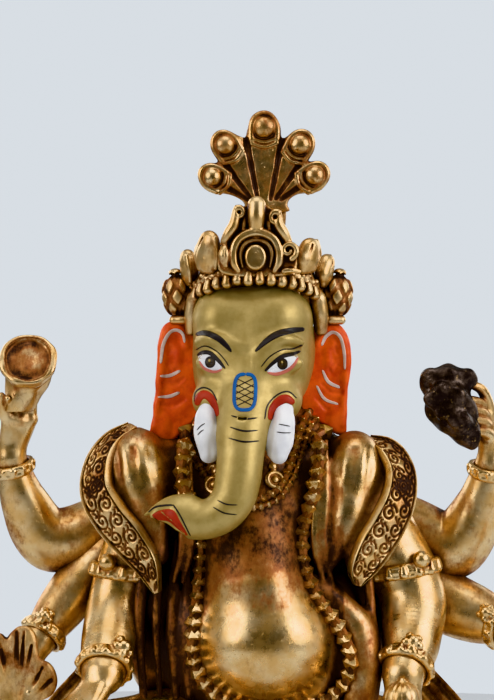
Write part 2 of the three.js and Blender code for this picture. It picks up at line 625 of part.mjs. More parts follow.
const tusks = join([tuskForm(RIGHT, GAP), tuskForm(LEFT, GAP)]);
const trunkFree = cut(head, inHeadFrame(neck(GAP)), tusks);
const crownTools = [capForm(GAP), hoodStem(GAP)];
const bodyFromHead = inHeadFrame(join([torsoForm(GAP), allArms, grownBands, necklaces]));
add("head", cut(trunkFree, inHeadFrame(torsoForm(GAP))), "goldPaint", headGroup);
for (const [name, side] of [["ear_right", RIGHT], ["ear_left", LEFT]]) {
  add(name, cut(earForm(side), headForm(GAP), bodyFromHead), "orange", headGroup);
}
for (const [name, side] of [["tusk_right", RIGHT], ["tusk_left", LEFT]]) {
  add(name, cut(tuskForm(side), bodyFromHead), "white", headGroup);
}
const ears = join([earForm(RIGHT, GAP), earForm(LEFT, GAP)]);
const grownHead = headForm(GAP);
add("crown_cap", cut(capForm(), grownHead, hoodStem(GAP), ears), "gilt", headGroup);
add("crown_band", cut(crownBand(), grownHead, ...crownTools, ears), "gilt", headGroup);
const crownTaken = [grownHead, capForm(GAP), crownBand(GAP), hoodStem(GAP), ears];
add("crown_medallion", cut(medallion(), ...crownTaken), "gilt", headGroup);
const rosettes = join([rosette(RIGHT, GAP), rosette(LEFT, GAP)]);
for (const [name, side] of [["crown_rosette_right", RIGHT], ["crown_rosette_left", LEFT]]) {
  add(name, cut(rosette(side), ...crownTaken), "gilt", headGroup);
}
for (const [name, leaf] of Object.entries(CROWN_LEAVES)) {
  add(name, cut(crownLeaf(leaf), ...crownTaken, medallion(GAP), rosettes), "gilt", headGroup);
}
add("naga_hood", cut(hood(), hoodStem(GAP)), "gilt", headGroup);
add("naga_stem", cut(hoodStem(), grownHead), "gilt", headGroup);

export default idol;
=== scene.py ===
"""A gilt six-armed Ganesha: the visible model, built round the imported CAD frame.

Shapes are given in millimetres in the frame's axes: +Z up, the idol faces -Y, and its own
right hand is on the -X side. Castings are sculpted as distance fields and then meshed.
"""
import math

import bpy
import numpy as np
import openvdb
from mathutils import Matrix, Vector
from mathutils.bvhtree import BVHTree


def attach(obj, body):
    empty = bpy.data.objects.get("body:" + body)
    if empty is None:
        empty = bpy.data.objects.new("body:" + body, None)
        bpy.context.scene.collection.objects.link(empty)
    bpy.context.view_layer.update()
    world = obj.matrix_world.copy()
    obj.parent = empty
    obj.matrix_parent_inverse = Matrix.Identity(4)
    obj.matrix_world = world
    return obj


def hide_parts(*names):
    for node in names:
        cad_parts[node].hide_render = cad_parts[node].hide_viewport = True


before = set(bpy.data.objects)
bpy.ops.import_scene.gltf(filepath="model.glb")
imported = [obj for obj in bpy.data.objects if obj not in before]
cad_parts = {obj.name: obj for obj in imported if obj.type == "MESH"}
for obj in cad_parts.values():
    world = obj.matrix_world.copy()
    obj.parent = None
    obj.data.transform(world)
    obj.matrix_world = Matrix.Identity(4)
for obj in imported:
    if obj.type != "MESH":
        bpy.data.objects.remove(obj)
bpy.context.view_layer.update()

MM = 0.001
FAR = 14.0  # distances beyond this are not kept
HEAD_AXIS = (0.5, -2.0)
HEAD_TURN = -7  # degrees: the head looks a little to its own right
RIGHT, LEFT = -1, 1


# ---------------------------------------------------------------- curves and turns

def spline(points, count):
    """`count` points, evenly spaced in parameter, on a smooth curve through the given ones."""
    p = np.asarray(points, dtype=float)
    if p.ndim == 1:
        p = p[:, None]
    if len(p) == 2:
        t = np.linspace(0, 1, count)[:, None]
        return p[0] * (1 - t) + p[1] * t
    ends = np.vstack([2 * p[0] - p[1], p, 2 * p[-1] - p[-2]])
    at = np.linspace(0, len(p) - 1, count)
    i = np.minimum(at.astype(int), len(p) - 2)
    t = (at - i)[:, None]
    a, b, c, d = ends[i], ends[i + 1], ends[i + 2], ends[i + 3]
    return b + 0.5 * t * (c - a + t * (2 * a - 5 * b + 4 * c - d + t * (3 * (b - c) + d - a)))


def closed_spline(points, count):
    """The same on a closed curve."""
    p = list(points)
    whole = spline([p[-1], *p, p[0], p[1]], (len(p) + 2) * 40 + 1)
    ring = whole[40:-40]
    steps = np.linalg.norm(np.diff(ring, axis=0), axis=1)
    run = np.concatenate([[0], np.cumsum(steps)])
    at = np.arange(count) * run[-1] / count
    return np.stack([np.interp(at, run, ring[:, k]) for k in range(ring.shape[1])], axis=1)


def even(line, count):
    """A line's points moved to equal distances along it."""
    line = np.asarray(line, dtype=float)
    run = np.concatenate([[0], np.cumsum(np.linalg.norm(np.diff(line, axis=0), axis=1))])
    at = np.linspace(0, run[-1], count)
    return np.stack([np.interp(at, run, line[:, k]) for k in range(line.shape[1])], axis=1)


def turn(x=0, y=0, z=0):
    """The rotation about X, then Y, then Z, in degrees."""
    a, b, c = (math.radians(v) for v in (x, y, z))
    rx = np.array([[1, 0, 0], [0, math.cos(a), -math.sin(a)], [0, math.sin(a), math.cos(a)]])
    ry = np.array([[math.cos(b), 0, math.sin(b)], [0, 1, 0], [-math.sin(b), 0, math.cos(b)]])
    rz = np.array([[math.cos(c), -math.sin(c), 0], [math.sin(c), math.cos(c), 0], [0, 0, 1]])
    return rz @ ry @ rx


def facing(outward, up=(0, 0, 1)):
    """The rotation that takes -Y to `outward` and keeps +Z as near `up` as it can."""
    y = -unit(outward)
    x = unit(np.cross(y, np.asarray(up, dtype=float)))
    return np.stack([x, y, np.cross(x, y)], axis=1)


def unit(vectors):
    """A vector, or each row of a table of vectors, at length 1."""
    vectors = np.asarray(vectors, dtype=float)
    return vectors / np.linalg.norm(vectors, axis=-1, keepdims=True)


def angles(count):
    """`count` even steps round a circle, without the last one that would close it."""
    return np.linspace(0, 2 * math.pi, count + 1)[:-1]


def hoop(centre, radius, count, flat=True):
    """Points round a circle that lies flat or, if not flat, faces along Y."""
    x, y, z = centre
    spots = []
    for a in angles(count):
        across, along = radius * math.cos(a), radius * math.sin(a)
        spots.append((x + across, y + along, z) if flat else (x + across, y, z + along))
    return spots


def sided(name, side):
    """A part's name with its side."""
    return name + ("_right" if side == RIGHT else "_left")


def mirrored(points, side):
    """Points given for the left side, moved to `side`."""
    return [(side * p[0], *p[1:]) for p in points]


# ---------------------------------------------------------------- meshes

def mesh_object(name, verts, faces, material, smooth=True, wax_and_shade=None):
    """An object from vertices in millimetres and faces that all have the same number of corners.

    The last argument gives, vertex by vertex, how deep in a recess it lies (1) or how open it is (0), plus
    added wax and, on the torso's chest, painted shade.
    """
    verts = np.asarray(verts, dtype=float) * MM
    faces = np.asarray(faces, dtype=np.int32)
    mesh = bpy.data.meshes.new(name)
    mesh.vertices.add(len(verts))
    mesh.vertices.foreach_set("co", verts.ravel())
    mesh.loops.add(faces.size)
    mesh.loops.foreach_set("vertex_index", faces.ravel())
    mesh.polygons.add(len(faces))
    mesh.polygons.foreach_set("loop_start", np.arange(0, faces.size, faces.shape[1], dtype=np.int32))
    mesh.polygons.foreach_set("use_smooth", np.full(len(faces), smooth))
    mesh.update(calc_edges=True)
    if wax_and_shade is not None:
        layer = mesh.attributes.new("wax_and_shade", "FLOAT", "POINT")
        layer.data.foreach_set("value", np.asarray(wax_and_shade, dtype=np.float32))
    mesh.materials.append(material)
    piece = bpy.data.objects.new(name, mesh)
    bpy.context.scene.collection.objects.link(piece)
    return piece


def slab_faces(rows, columns, start=0):
    """Quads that close a grid of top points and the same grid of under points into one thin slab."""
    size = rows * columns
    faces = []
    for i in range(rows - 1):
        for j in range(columns - 1):
            a = start + i * columns + j
            quad = (a, a + 1, a + columns + 1, a + columns)
            faces += [quad, tuple(size + k for k in reversed(quad))]
    rim = list(range(columns))
    rim += [i * columns + columns - 1 for i in range(1, rows)]
    rim += [(rows - 1) * columns + j for j in range(columns - 2, -1, -1)]
    rim += [i * columns for i in range(rows - 2, 0, -1)]
    for a, b in zip(rim, rim[1:] + rim[:1]):
        faces.append((start + b, start + a, start + a + size, start + b + size))
    return faces


def settle(piece, nodes=()):
    """The piece rides on the idol and stands for the CAD nodes."""
    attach(piece, "root")
    if nodes:
        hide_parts(*nodes)
    return piece


def main_body(count, faces):
    """Which faces belong to the largest connected body of a mesh, so that no crumb is kept."""
    label = np.arange(count)
    while True:
        lowest = label[faces].min(axis=1)
        merged = label.copy()
        for k in range(faces.shape[1]):
            np.minimum.at(merged, faces[:, k], lowest)
        merged = merged[merged]
        if np.array_equal(merged, label):
            break
        label = merged
    body = label[faces[:, 0]]
    return body == np.bincount(body).argmax()


class Clay:
    """A distance field in a box. Shapes are pressed on or carved out, and cast() meshes the result."""

    def __init__(self, low, high, step):
        self.low = np.asarray(low, dtype=np.float32)
        self.step = step
        size = np.ceil((np.asarray(high) - self.low) / step).astype(int) + 1
        self.field = np.full(size, FAR, dtype=np.float32)
        self.at()

    def at(self, origin=(0, 0, 0), rotation=np.eye(3)):
        """Later shapes are given in this place's own axes."""
        self.origin = np.asarray(origin, dtype=np.float32)
        self.rotation = np.asarray(rotation, dtype=np.float32)
        return self

    def _block(self, low, high):
        """The cells in a local box, and each cell's local coordinates."""
        low, high = np.asarray(low, dtype=float), np.asarray(high, dtype=float)
        corners = np.array([[(low, high)[(n >> k) & 1][k] for k in range(3)] for n in range(8)])
        corners = corners @ self.rotation.T + self.origin
        first = np.clip(np.floor((corners.min(0) - self.low) / self.step).astype(int), 0, self.field.shape)
        last = np.clip(np.ceil((corners.max(0) - self.low) / self.step).astype(int) + 1, 0,
                       self.field.shape)
        axes = [
            self.low[k] + self.step * np.arange(first[k], last[k], dtype=np.float32) - self.origin[k]
            for k in range(3)
        ]
        x, y, z = np.meshgrid(*axes, indexing="ij", sparse=True)
        r = self.rotation
        local = [x * r[0, k] + y * r[1, k] + z * r[2, k] for k in range(3)]
        return tuple(slice(a, b) for a, b in zip(first, last)), local

    def _blend(self, where, distance, soft, carve):
        """Joins a shape's distances to the field, or cuts them out of it, with a soft seam."""
        old = self.field[where]
        if old.size == 0:
            return
        if carve:
            old = -old
        if soft > 0:
            share = np.clip(0.5 + 0.5 * (old - distance) / soft, 0, 1)
            new = old + share * (distance - old) - soft * share * (1 - share)
        else:
            new = np.minimum(old, distance)
        self.field[where] = -new if carve else new

    def ball(self, centre, radii, soft=1.0, carve=False, spin=None):
        """An ellipsoid. spin turns it about its own centre, in degrees."""
        origin, rotation = self.origin, self.rotation
        if spin is not None:
            self.at(rotation @ np.asarray(centre, dtype=float) + origin, rotation @ turn(*spin))
            centre = (0, 0, 0)
        radii = np.broadcast_to(np.asarray(radii, dtype=float), 3)
        reach = radii + soft + 3 * self.step
        where, p = self._block(np.subtract(centre, reach), np.add(centre, reach))
        q = [p[k] - np.float32(centre[k]) for k in range(3)]
        inner = sum((q[k] / np.float32(radii[k])) ** 2 for k in range(3)) ** 0.5
        slope = sum((q[k] / np.float32(radii[k] ** 2)) ** 2 for k in range(3)) ** 0.5
        self._blend(where, inner * (inner - 1) / np.maximum(slope, 1e-6), soft, carve)
        self.at(origin, rotation)
        return self

    def limb(self, points, radii, soft=1.0, carve=False, count=None, closed=False):
        """A round limb along a smooth line, with a radius at each of the line's points."""
        if count is None:
            count = 8 * len(points)
        radii = np.broadcast_to(np.asarray(radii, dtype=float), len(points))
        rows = np.column_stack([np.asarray(points, dtype=float), radii])
        rows = closed_spline(rows, count) if closed else spline(rows, count)
        if closed:
            rows = np.vstack([rows, rows[:1]])
        line, sizes = rows[:, :3], rows[:, 3]
        reach = sizes.max() + soft + 3 * self.step
        where, _ = self._block(line.min(0) - reach, line.max(0) + reach)
        nearest = np.full(self.field[where].shape, 2 * FAR, dtype=np.float32)
        start = [s.start for s in where]
        for a, b, ra, rb in zip(line[:-1], line[1:], sizes[:-1], sizes[1:]):
            margin = max(ra, rb) + soft + 3 * self.step
            part, q = self._block(np.minimum(a, b) - margin, np.maximum(a, b) + margin)
            inside = tuple(slice(s.start - o, s.stop - o) for s, o in zip(part, start))
            along = b - a
            length2 = max(float(along @ along), 1e-9)
            q = [q[k] - np.float32(a[k]) for k in range(3)]
            t = np.clip(sum(q[k] * np.float32(along[k]) for k in range(3)) / length2, 0, 1)
            gap = sum((q[k] - t * np.float32(along[k])) ** 2 for k in range(3)) ** 0.5
            nearest[inside] = np.minimum(nearest[inside], gap - (ra + (rb - ra) * t))
        self._blend(where, nearest, soft, carve)
        return self

    def disc(self, centre, radius, half, round_by=0.4, soft=0.5, carve=False, wide=1.0):
        """A flat round plate whose axis is the local Y. `wide` stretches it along Z."""
        reach = np.array([radius, half, radius * wide]) + soft + 3 * self.step
        where, p = self._block(np.subtract(centre, reach), np.add(centre, reach))
        x, y, z = (p[k] - np.float32(centre[k]) for k in range(3))
        across = np.sqrt(x * x + (z / wide) ** 2) - (radius - round_by)
        deep = np.abs(y) - (half - round_by)
        outside = np.sqrt(np.maximum(across, 0) ** 2 + np.maximum(deep, 0) ** 2)
        self._blend(where, outside + np.minimum(np.maximum(across, deep), 0) - round_by, soft, carve)
        return self

    def slab(self, outline, middle, half, round_by=0.6, soft=0.5, carve=False, bow=0.0):
        """A plate of a given X-Z outline, `half` thick each way from Y = middle.

        bow bends it back with |x|.
        """
        outline = np.asarray(outline, dtype=np.float32)
        low, high = outline.min(0), outline.max(0)
        deepest = abs(bow) * max(abs(low[0]), abs(high[0])) ** 2
        reach = soft + 3 * self.step
        where, p = self._block(
            (low[0] - reach, middle - half - reach - deepest, low[1] - reach),
            (high[0] + reach, middle + half + reach + deepest, high[1] + reach),
        )
        x, y, z = p
        flat = np.broadcast_arrays(x, z)
        nearest = np.full(flat[0].shape, 1e9, dtype=np.float32)
        inside = np.zeros(flat[0].shape, dtype=bool)
        for a, b in zip(outline, np.roll(outline, -1, axis=0)):
            e = b - a
            qx, qz = flat[0] - a[0], flat[1] - a[1]
            t = np.clip((qx * e[0] + qz * e[1]) / max(float(e @ e), 1e-9), 0, 1)
            nearest = np.minimum(nearest, (qx - t * e[0]) ** 2 + (qz - t * e[1]) ** 2)
            if e[1] != 0:
                crosses = ((a[1] > flat[1]) != (b[1] > flat[1])) & (qx < e[0] * qz / e[1])
                inside ^= crosses
        across = np.where(inside, -1, 1) * np.sqrt(nearest) + round_by
        deep = np.abs(y - middle - bow * x * x) - (half - round_by)
        outside = np.sqrt(np.maximum(across, 0) ** 2 + np.maximum(deep, 0) ** 2)
        self._blend(where, outside + np.minimum(np.maximum(across, deep), 0) - round_by, soft, carve)
        return self

    def level(self, z, above=True):
        """Cuts away everything above (or below) a height."""
        heights = self.low[2] + self.step * np.arange(self.field.shape[2], dtype=np.float32)
        gap = (heights - z) if above else (z - heights)
        self.field = np.maximum(self.field, gap[None, None, :])
        return self

    def waver(self, amount, size, seed=0):
        """Presses soft, hand-made unevenness into the whole surface."""
        x, y, z = (
            self.low[k] + self.step * np.arange(self.field.shape[k], dtype=np.float32) for k in range(3)
        )
        x, y, z = np.meshgrid(x, y, z, indexing="ij", sparse=True)
        rng = np.random.default_rng(seed)
        for _ in range(4):
            way = rng.normal(size=3)
            way *= 2 * math.pi / (size * np.linalg.norm(way))
            phase = rng.uniform(0, 6.28, 3)
            wave = np.sin(x * way[0] + phase[0]) * np.sin(y * way[1] + phase[1] + z * way[2])
            self.field += np.float32(amount / 2) * wave
        return self

    def sample(self, points):
        """The field at points given in cells, blended between neighbouring cells."""
        limit = np.array(self.field.shape) - 1.001
        points = np.clip(points, 0, limit)
        cell = points.astype(int)
        share = (points - cell).astype(np.float32)
        total = 0
        for corner in range(8):
            bits = [(corner >> k) & 1 for k in range(3)]
            weight = np.ones(len(points), dtype=np.float32)
            for k in range(3):
                weight *= share[:, k] if bits[k] else 1 - share[:, k]
            x, y, z = (cell[:, k] + bits[k] for k in range(3))
            total = total + weight * self.field[x, y, z]
        return total

    def recess(self, points):
        """How hemmed in each surface point is: open air ahead of it should be as deep as the step taken."""
        ways = [self.sample(points + np.eye(3)[k]) - self.sample(points - np.eye(3)[k]) for k in range(3)]
        normal = np.stack(ways, axis=1)
        normal /= np.maximum(np.linalg.norm(normal, axis=1), 1e-6)[:, None]
        hemmed = 0
        for reach, weight in ((0.8, 0.8), (1.8, 1.0), (4.0, 0.7)):
            ahead = self.sample(points + normal * reach / self.step)
            hemmed = np.maximum(hemmed, weight * np.clip(1 - ahead / reach - 0.06, 0, 1))
        return np.minimum(1.5 * hemmed, 1)

    def cast(self, name, material, slot="gilt_metal", rotation=None, offset=(0, 0, 0), stain_and_shade=None):
        """The field's zero surface as an object, moved out of its working frame.

        It stands for the CAD node of the same name. The function given last adds wax vertex by vertex, and
        on the torso also painted shade on the chest.
        """
        grid = openvdb.FloatGrid(FAR)
        grid.copyFromArray(self.field)
        points, _, quads = grid.convertToPolygons(isovalue=0.0)
        quads = np.asarray(quads)
        quads = quads[main_body(len(points), quads)]
        kept, quads = np.unique(quads, return_inverse=True)
        quads = quads.reshape(-1, 4)
        points = np.asarray(points, dtype=float)[kept]
        verts = points * self.step + self.low
        wax_and_shade = self.recess(points)
        if stain_and_shade is not None:
            wax_and_shade = wax_and_shade + stain_and_shade(verts)
        if rotation is not None:
            verts = verts @ np.asarray(rotation).T
        return settle(mesh_object(name, verts + offset, quads, material, wax_and_shade=wax_and_shade), [name])


# ---------------------------------------------------------------- materials

class Nodes:
    """A short way to wire a material's nodes."""

    def __init__(self, name):
        self.material = bpy.data.materials.new(name)
        self.material.use_nodes = True
        self.tree = self.material.node_tree
        self.shader = self.tree.nodes["Principled BSDF"]
        self.place = self.add("ShaderNodeTexCoord").outputs["Object"]

    def add(self, kind, inputs=None, **settings):
        """A new node with its settings, and its inputs linked or filled in."""
        node = self.tree.nodes.new(kind)
        for key, value in settings.items():
            setattr(node, key, value)
        for key, value in (inputs or {}).items():
            self.set(node.inputs[key], value)
        return node

    def set(self, socket, value):
        """Links a socket to another one, or gives it a plain value."""
        if isinstance(value, bpy.types.NodeSocket):
            self.tree.links.new(value, socket)
        else:
            socket.default_value = value

    def noise(self, size_mm, detail=3, rough=0.55, stretch=None):
        """Noise whose features are about size_mm across."""
        where = self.place
        if stretch is not None:
            where = self.add("ShaderNodeMapping", {"Vector": where, "Scale": stretch}).outputs["Vector"]
        inputs = {"Vector": where, "Scale": 1000 / size_mm, "Detail": detail, "Roughness": rough}
        return self.add("ShaderNodeTexNoise", inputs).outputs["Fac"]

    def ramp(self, value, low, high, out_low=0.0, out_high=1.0):
        """A smooth step from out_low to out_high as the value goes from low to high."""
        inputs = {"Value": value, "From Min": low, "From Max": high, "To Min": out_low, "To Max": out_high}
        return self.add("ShaderNodeMapRange", inputs, interpolation_type="SMOOTHSTEP").outputs["Result"]

    def maths(self, operation, a, b=0.0):
        """One sum on two sockets or numbers."""
        node = self.add("ShaderNodeMath", operation=operation)
        self.set(node.inputs[0], a)
        self.set(node.inputs[1], b)
        return node.outputs[0]

    def mix(self, share, a, b):
        """Colour a where share is 0, b where it is 1."""
        node = self.add("ShaderNodeMix", data_type="RGBA")
        self.set(node.inputs[0], share)
        self.set(node.inputs[6], a if isinstance(a, bpy.types.NodeSocket) else (*a, 1))
        self.set(node.inputs[7], b if isinstance(b, bpy.types.NodeSocket) else (*b, 1))
        return node.outputs[2]

    def recess(self, reach_mm):
        """1 deep in a recess, 0 on open surface."""
        node = self.add("ShaderNodeAmbientOcclusion", {"Distance": reach_mm * MM}, samples=6)
        return self.maths("SUBTRACT", 1.0, node.outputs["AO"])

    def bump(self, *layers):
        """Stacks (height, depth in mm) layers."""
        normal = None
        for height, depth in layers:
            inputs = {"Height": height, "Distance": depth * MM, "Strength": 1.0}
            if normal is not None:
                inputs["Normal"] = normal
            normal = self.add("ShaderNodeBump", inputs).outputs["Normal"]
        self.set(self.shader.inputs["Normal"], normal)


GOLD = (0.77, 0.485, 0.20)
GOLD_PALE = (0.87, 0.65, 0.36)
COPPER_RED = (0.27, 0.072, 0.018)
COPPER_TAN = (0.40, 0.150, 0.045)
UMBER = (0.032, 0.010, 0.004)


def gilt(name, patina=0.0, dark=0.0, rough=0.27):
    """Worn fire-gilding. patina is how far the red-brown wax spreads, dark how far it goes black."""
    n = Nodes(name)
    # The mesh attribute read here holds wax and, on the torso's chest, painted shade.
    wax_and_shade = n.add("ShaderNodeAttribute", attribute_name="wax_and_shade").outputs["Fac"]
    contact = n.ramp(n.recess(5), 0.14, 0.66, 0.0, 0.95)
    cloud = n.ramp(n.noise(9, 5, 0.66), 0.34, 0.70, -0.20, 0.20)
    speck = n.ramp(n.noise(1.2, 5, 0.75, (1.0, 0.4, 0.6)), 0.35, 0.75, -0.14, 0.16)
    hollow = n.maths("ADD", wax_and_shade, n.maths("MULTIPLY", contact, 0.7))
    wax = n.maths("ADD", n.maths("MAXIMUM", hollow, contact), n.maths("ADD", cloud, speck))
    wax = n.maths("ADD", wax, patina)
    stain_and_shade = n.ramp(wax, 0.05, 0.64)
    soot = n.ramp(wax, 0.62 - 0.3 * dark, 1.05 - 0.3 * dark)
    gold = n.mix(n.ramp(n.noise(5, 3), 0.3, 0.7), GOLD, GOLD_PALE)
    brown = n.mix(n.ramp(n.noise(2.4, 4), 0.35, 0.7), COPPER_RED, COPPER_TAN)
    colour = n.mix(n.maths("MULTIPLY", stain_and_shade, 0.94), gold, brown)
    n.set(n.shader.inputs["Base Color"], n.mix(soot, colour, UMBER))
    n.set(n.shader.inputs["Metallic"], n.ramp(wax, 0.20, 0.75, 1.0, 0.45))
    scratch = n.noise(0.42, 4, 0.75, (1.0, 0.10, 0.35))
    cross = n.noise(0.5, 4, 0.7, (0.12, 0.6, 1.0))
    shine = n.ramp(n.noise(3.2, 4), 0.3, 0.72, rough - 0.05, rough + 0.09)
    shine = n.maths("ADD", shine, n.maths("MULTIPLY", stain_and_shade, 0.17))
    n.set(n.shader.inputs["Roughness"], shine)
    pits = n.ramp(n.noise(0.8, 2), 0.67, 0.76, 1.0, 0.0)
    n.bump((n.noise(4.5, 2), 0.012), (scratch, 0.024), (cross, 0.018), (pits, 0.04))
    return n.material


def paint(name, colour, shade, metal=0.0, rough=0.5, grain=0.02, spread=4):
    """Brushed-on matte paint: two close tones, brush streaks, and painted shade that darkens the recesses.
    """
    n = Nodes(name)
    tone = n.mix(n.ramp(n.noise(spread, 4, 0.6), 0.32, 0.7), colour, shade)
    streak = n.noise(0.8, 4, 0.65, (1.0, 0.35, 0.25))
    tone = n.mix(n.ramp(streak, 0.5, 0.8, 0.0, 0.35), tone, shade)
    # Painted shade: the recesses are darkened towards a third of the shade tone.
    recess_shade = n.ramp(n.recess(2.2), 0.42, 0.95, 0.0, 0.75)
    n.set(n.shader.inputs["Base Color"], n.mix(recess_shade, tone, tuple(0.35 * c for c in shade)))
    n.shader.inputs["Metallic"].default_value = metal
    n.set(n.shader.inputs["Roughness"], n.ramp(n.noise(0.6, 3), 0.3, 0.7, rough - 0.07, rough + 0.07))
    n.bump((n.noise(0.35, 2), grain), (streak, 0.02))
    return n.material


def dark_metal(name):
    """Oxidised metal, black, with random patches rubbed to brown and grey."""
    n = Nodes(name)
    rubbed = n.ramp(n.noise(3.5, 5, 0.65), 0.42, 0.68)
    colour = n.mix(rubbed, (0.030, 0.022, 0.020), (0.16, 0.12, 0.10))
    colour = n.mix(n.ramp(n.noise(1.6, 4), 0.6, 0.75), colour, (0.42, 0.27, 0.13))
    n.set(n.shader.inputs["Base Color"], colour)
    n.shader.inputs["Metallic"].default_value = 0.85
    n.set(n.shader.inputs["Roughness"], n.ramp(n.noise(2, 4), 0.3, 0.7, 0.26, 0.5))
    n.bump((n.noise(2.8, 4), 0.35), (n.noise(0.6, 4), 0.05))
    return n.material


def plain_copper(name):
    """Dull beaten sheet copper with hammer marks."""
    n = Nodes(name)
    colour = n.mix(n.ramp(n.noise(6, 4), 0.3, 0.7), (0.50, 0.21, 0.10), (0.28, 0.11, 0.055))
    n.set(n.shader.inputs["Base Color"], n.mix(n.ramp(n.recess(2), 0.3, 0.8), colour, UMBER))
    n.shader.inputs["Metallic"].default_value = 0.9
    n.set(n.shader.inputs["Roughness"], n.ramp(n.noise(2, 3), 0.3, 0.7, 0.35, 0.55))
    dents = n.add("ShaderNodeTexVoronoi", {"Vector": n.place, "Scale": 260}).outputs["Distance"]
    n.bump((dents, 0.15), (n.noise(0.6, 3), 0.02))
    return n.material


GILT = gilt("gilt")
GILT_WORN = gilt("gilt_worn", patina=0.11, dark=0.2, rough=0.31)
GILT_BRIGHT = gilt("gilt_bright", patina=-0.10, rough=0.29)
GILT_CROWN = gilt("gilt_crown", patina=0.12, dark=0.1, rough=0.33)
GILT_LEAF = gilt("gilt_leaf", patina=0.34, dark=0.5, rough=0.45)
GILT_DARK = gilt("gilt_dark", patina=0.42, dark=0.9, rough=0.38)
GILT_ENGRAVED = gilt("gilt_engraved", patina=0.02, dark=0.7, rough=0.3)
GOLD_PAINT = paint("gold_paint", (0.56, 0.42, 0.165), (0.46, 0.335, 0.118), metal=0.5, rough=0.44,
                   grain=0.022)
ORANGE = paint("orange_paint", (0.98, 0.15, 0.022), (0.70, 0.06, 0.008), rough=0.5)
WHITE = paint("white_paint", (0.93, 0.94, 0.97), (0.82, 0.83, 0.88), rough=0.45)
BLACK = paint("black_paint", (0.017, 0.014, 0.016), (0.032, 0.026, 0.026), rough=0.45)
BLUE = paint("blue_paint", (0.008, 0.13, 0.42), (0.006, 0.09, 0.33), rough=0.45)
RED = paint("red_paint", (0.50, 0.035, 0.006), (0.36, 0.018, 0.004), rough=0.5)
PINK = paint("pink_paint", (0.72, 0.23, 0.17), (0.62, 0.17, 0.12), rough=0.5)
CHALK = paint("chalk_paint", (0.78, 0.60, 0.55), (0.85, 0.70, 0.64), rough=0.55, spread=1.2)
EYE_BROWN = paint("eye_paint", (0.065, 0.042, 0.018), (0.02, 0.014, 0.010), rough=0.35, spread=1)
DARK = dark_metal("dark_metal")
COPPER = plain_copper("copper")


# ---------------------------------------------------------------- head, tusks and ears

HEAD_PLACE = {"rotation": turn(z=HEAD_TURN), "offset": (*HEAD_AXIS, 0)}
TRUNK_LINE = [
    (0, -10, 160), (0, -13, 152), (-0.6, -18.2, 144), (-1.2, -22.6, 137.5), (-1.5, -25.2, 131),
    (-2.0, -26.6, 125), (-3.0, -27.3, 120.6), (-5.6, -27.8, 117), (-9.2, -28, 115), (-13, -28, 114.6),
    (-17.2, -27.8, 115.6),
]
TRUNK_RADII = [7.6, 8.6, 7.4, 6.5, 6.2, 6.0, 5.8, 5.5, 5.3, 5.3, 5.6]


def make_head():
    """A high domed brow, full cheeks, and the trunk swung to the idol's right over an open lip."""
    clay = Clay((-34, -38, 104), (22, 22, 183), 0.4)
    clay.ball((-0.5, 1, 160), (16.8, 17.6, 19.5))
    clay.ball((0, -5.5, 168.6), (9, 11.6, 10), soft=3)
    for side in (RIGHT, LEFT):
        clay.ball((side * 7.2 - 0.6, -6.3, 168.4), (9.3, 11.4, 9.9), soft=3)
        clay.ball((side * 7.2 - 0.8, -6.6, 156.4), (8.6, 11.0, 12), soft=4)
        clay.limb([(side * 7.6 - 0.8, -7.5, 151), (side * 5.2 - 0.6, -12, 144.5)], [6.2, 6.0], soft=4)
        clay.ball((side * 9.8, -16.9, 156.4), (4.9, 2.1, 2.6), soft=2.2)
    clay.limb(TRUNK_LINE[:4], TRUNK_RADII[:4], soft=7, count=24)
    clay.limb(TRUNK_LINE[2:], TRUNK_RADII[2:], soft=2.5, count=60)
    for side in (RIGHT, LEFT):
        clay.ball((side * 9.4 - 0.8, -14.6, 146.4), (5.6, 6.4, 5.4), soft=2.8)
        clay.limb([(side * 3.5, -18.0, 160.4), (side * 9.5, -18.8, 163), (side * 14.0, -14.6, 162)],
                  [0.8, 1.2, 0.8], soft=3.4)
    # The trunk's upper lip runs out to a point over the open mouth.
    clay.limb([(-15, -27.6, 118), (-21, -27.2, 117.9), (-26.6, -26.6, 115.6)], [3.2, 2.3, 0.7], soft=2)
    clay.ball((-21.8, -30.5, 110.4), (8.2, 8.6, 5.0), soft=0.8, carve=True, spin=(0, 42, 0))
    clay.ball((-19.6, -28.0, 113.6), (3.8, 3.4, 2.4), soft=0.6, carve=True, spin=(0, 42, 0))
    opening = [(-25.6, 115.8), (-23.0, 117.6), (-19.4, 117.9), (-16.8, 114.8), (-14.6, 110.2),
               (-18.2, 111.8), (-20.8, 113.6), (-24.0, 114.8)]
    clay.at((0, -27.2, 0))
    clay.slab(closed_spline(opening, 40), 0, 1.6, round_by=0.5, soft=0.5)
    clay.at()
    for height, back in ((142.2, 0), (139.2, 0.4), (136.3, 0.9)):
        crease = [(-5, -25.0 - back, height), (-0.8, -27.6 - back, height - 0.7),
                  (3.4, -24.8 - back, height)]
        clay.limb(crease, [0.2, 0.42, 0.2], soft=1.2, carve=True)
    clay.waver(0.14, 15, seed=3)
    return clay.cast("head", GOLD_PAINT, "gold_paint", **HEAD_PLACE)


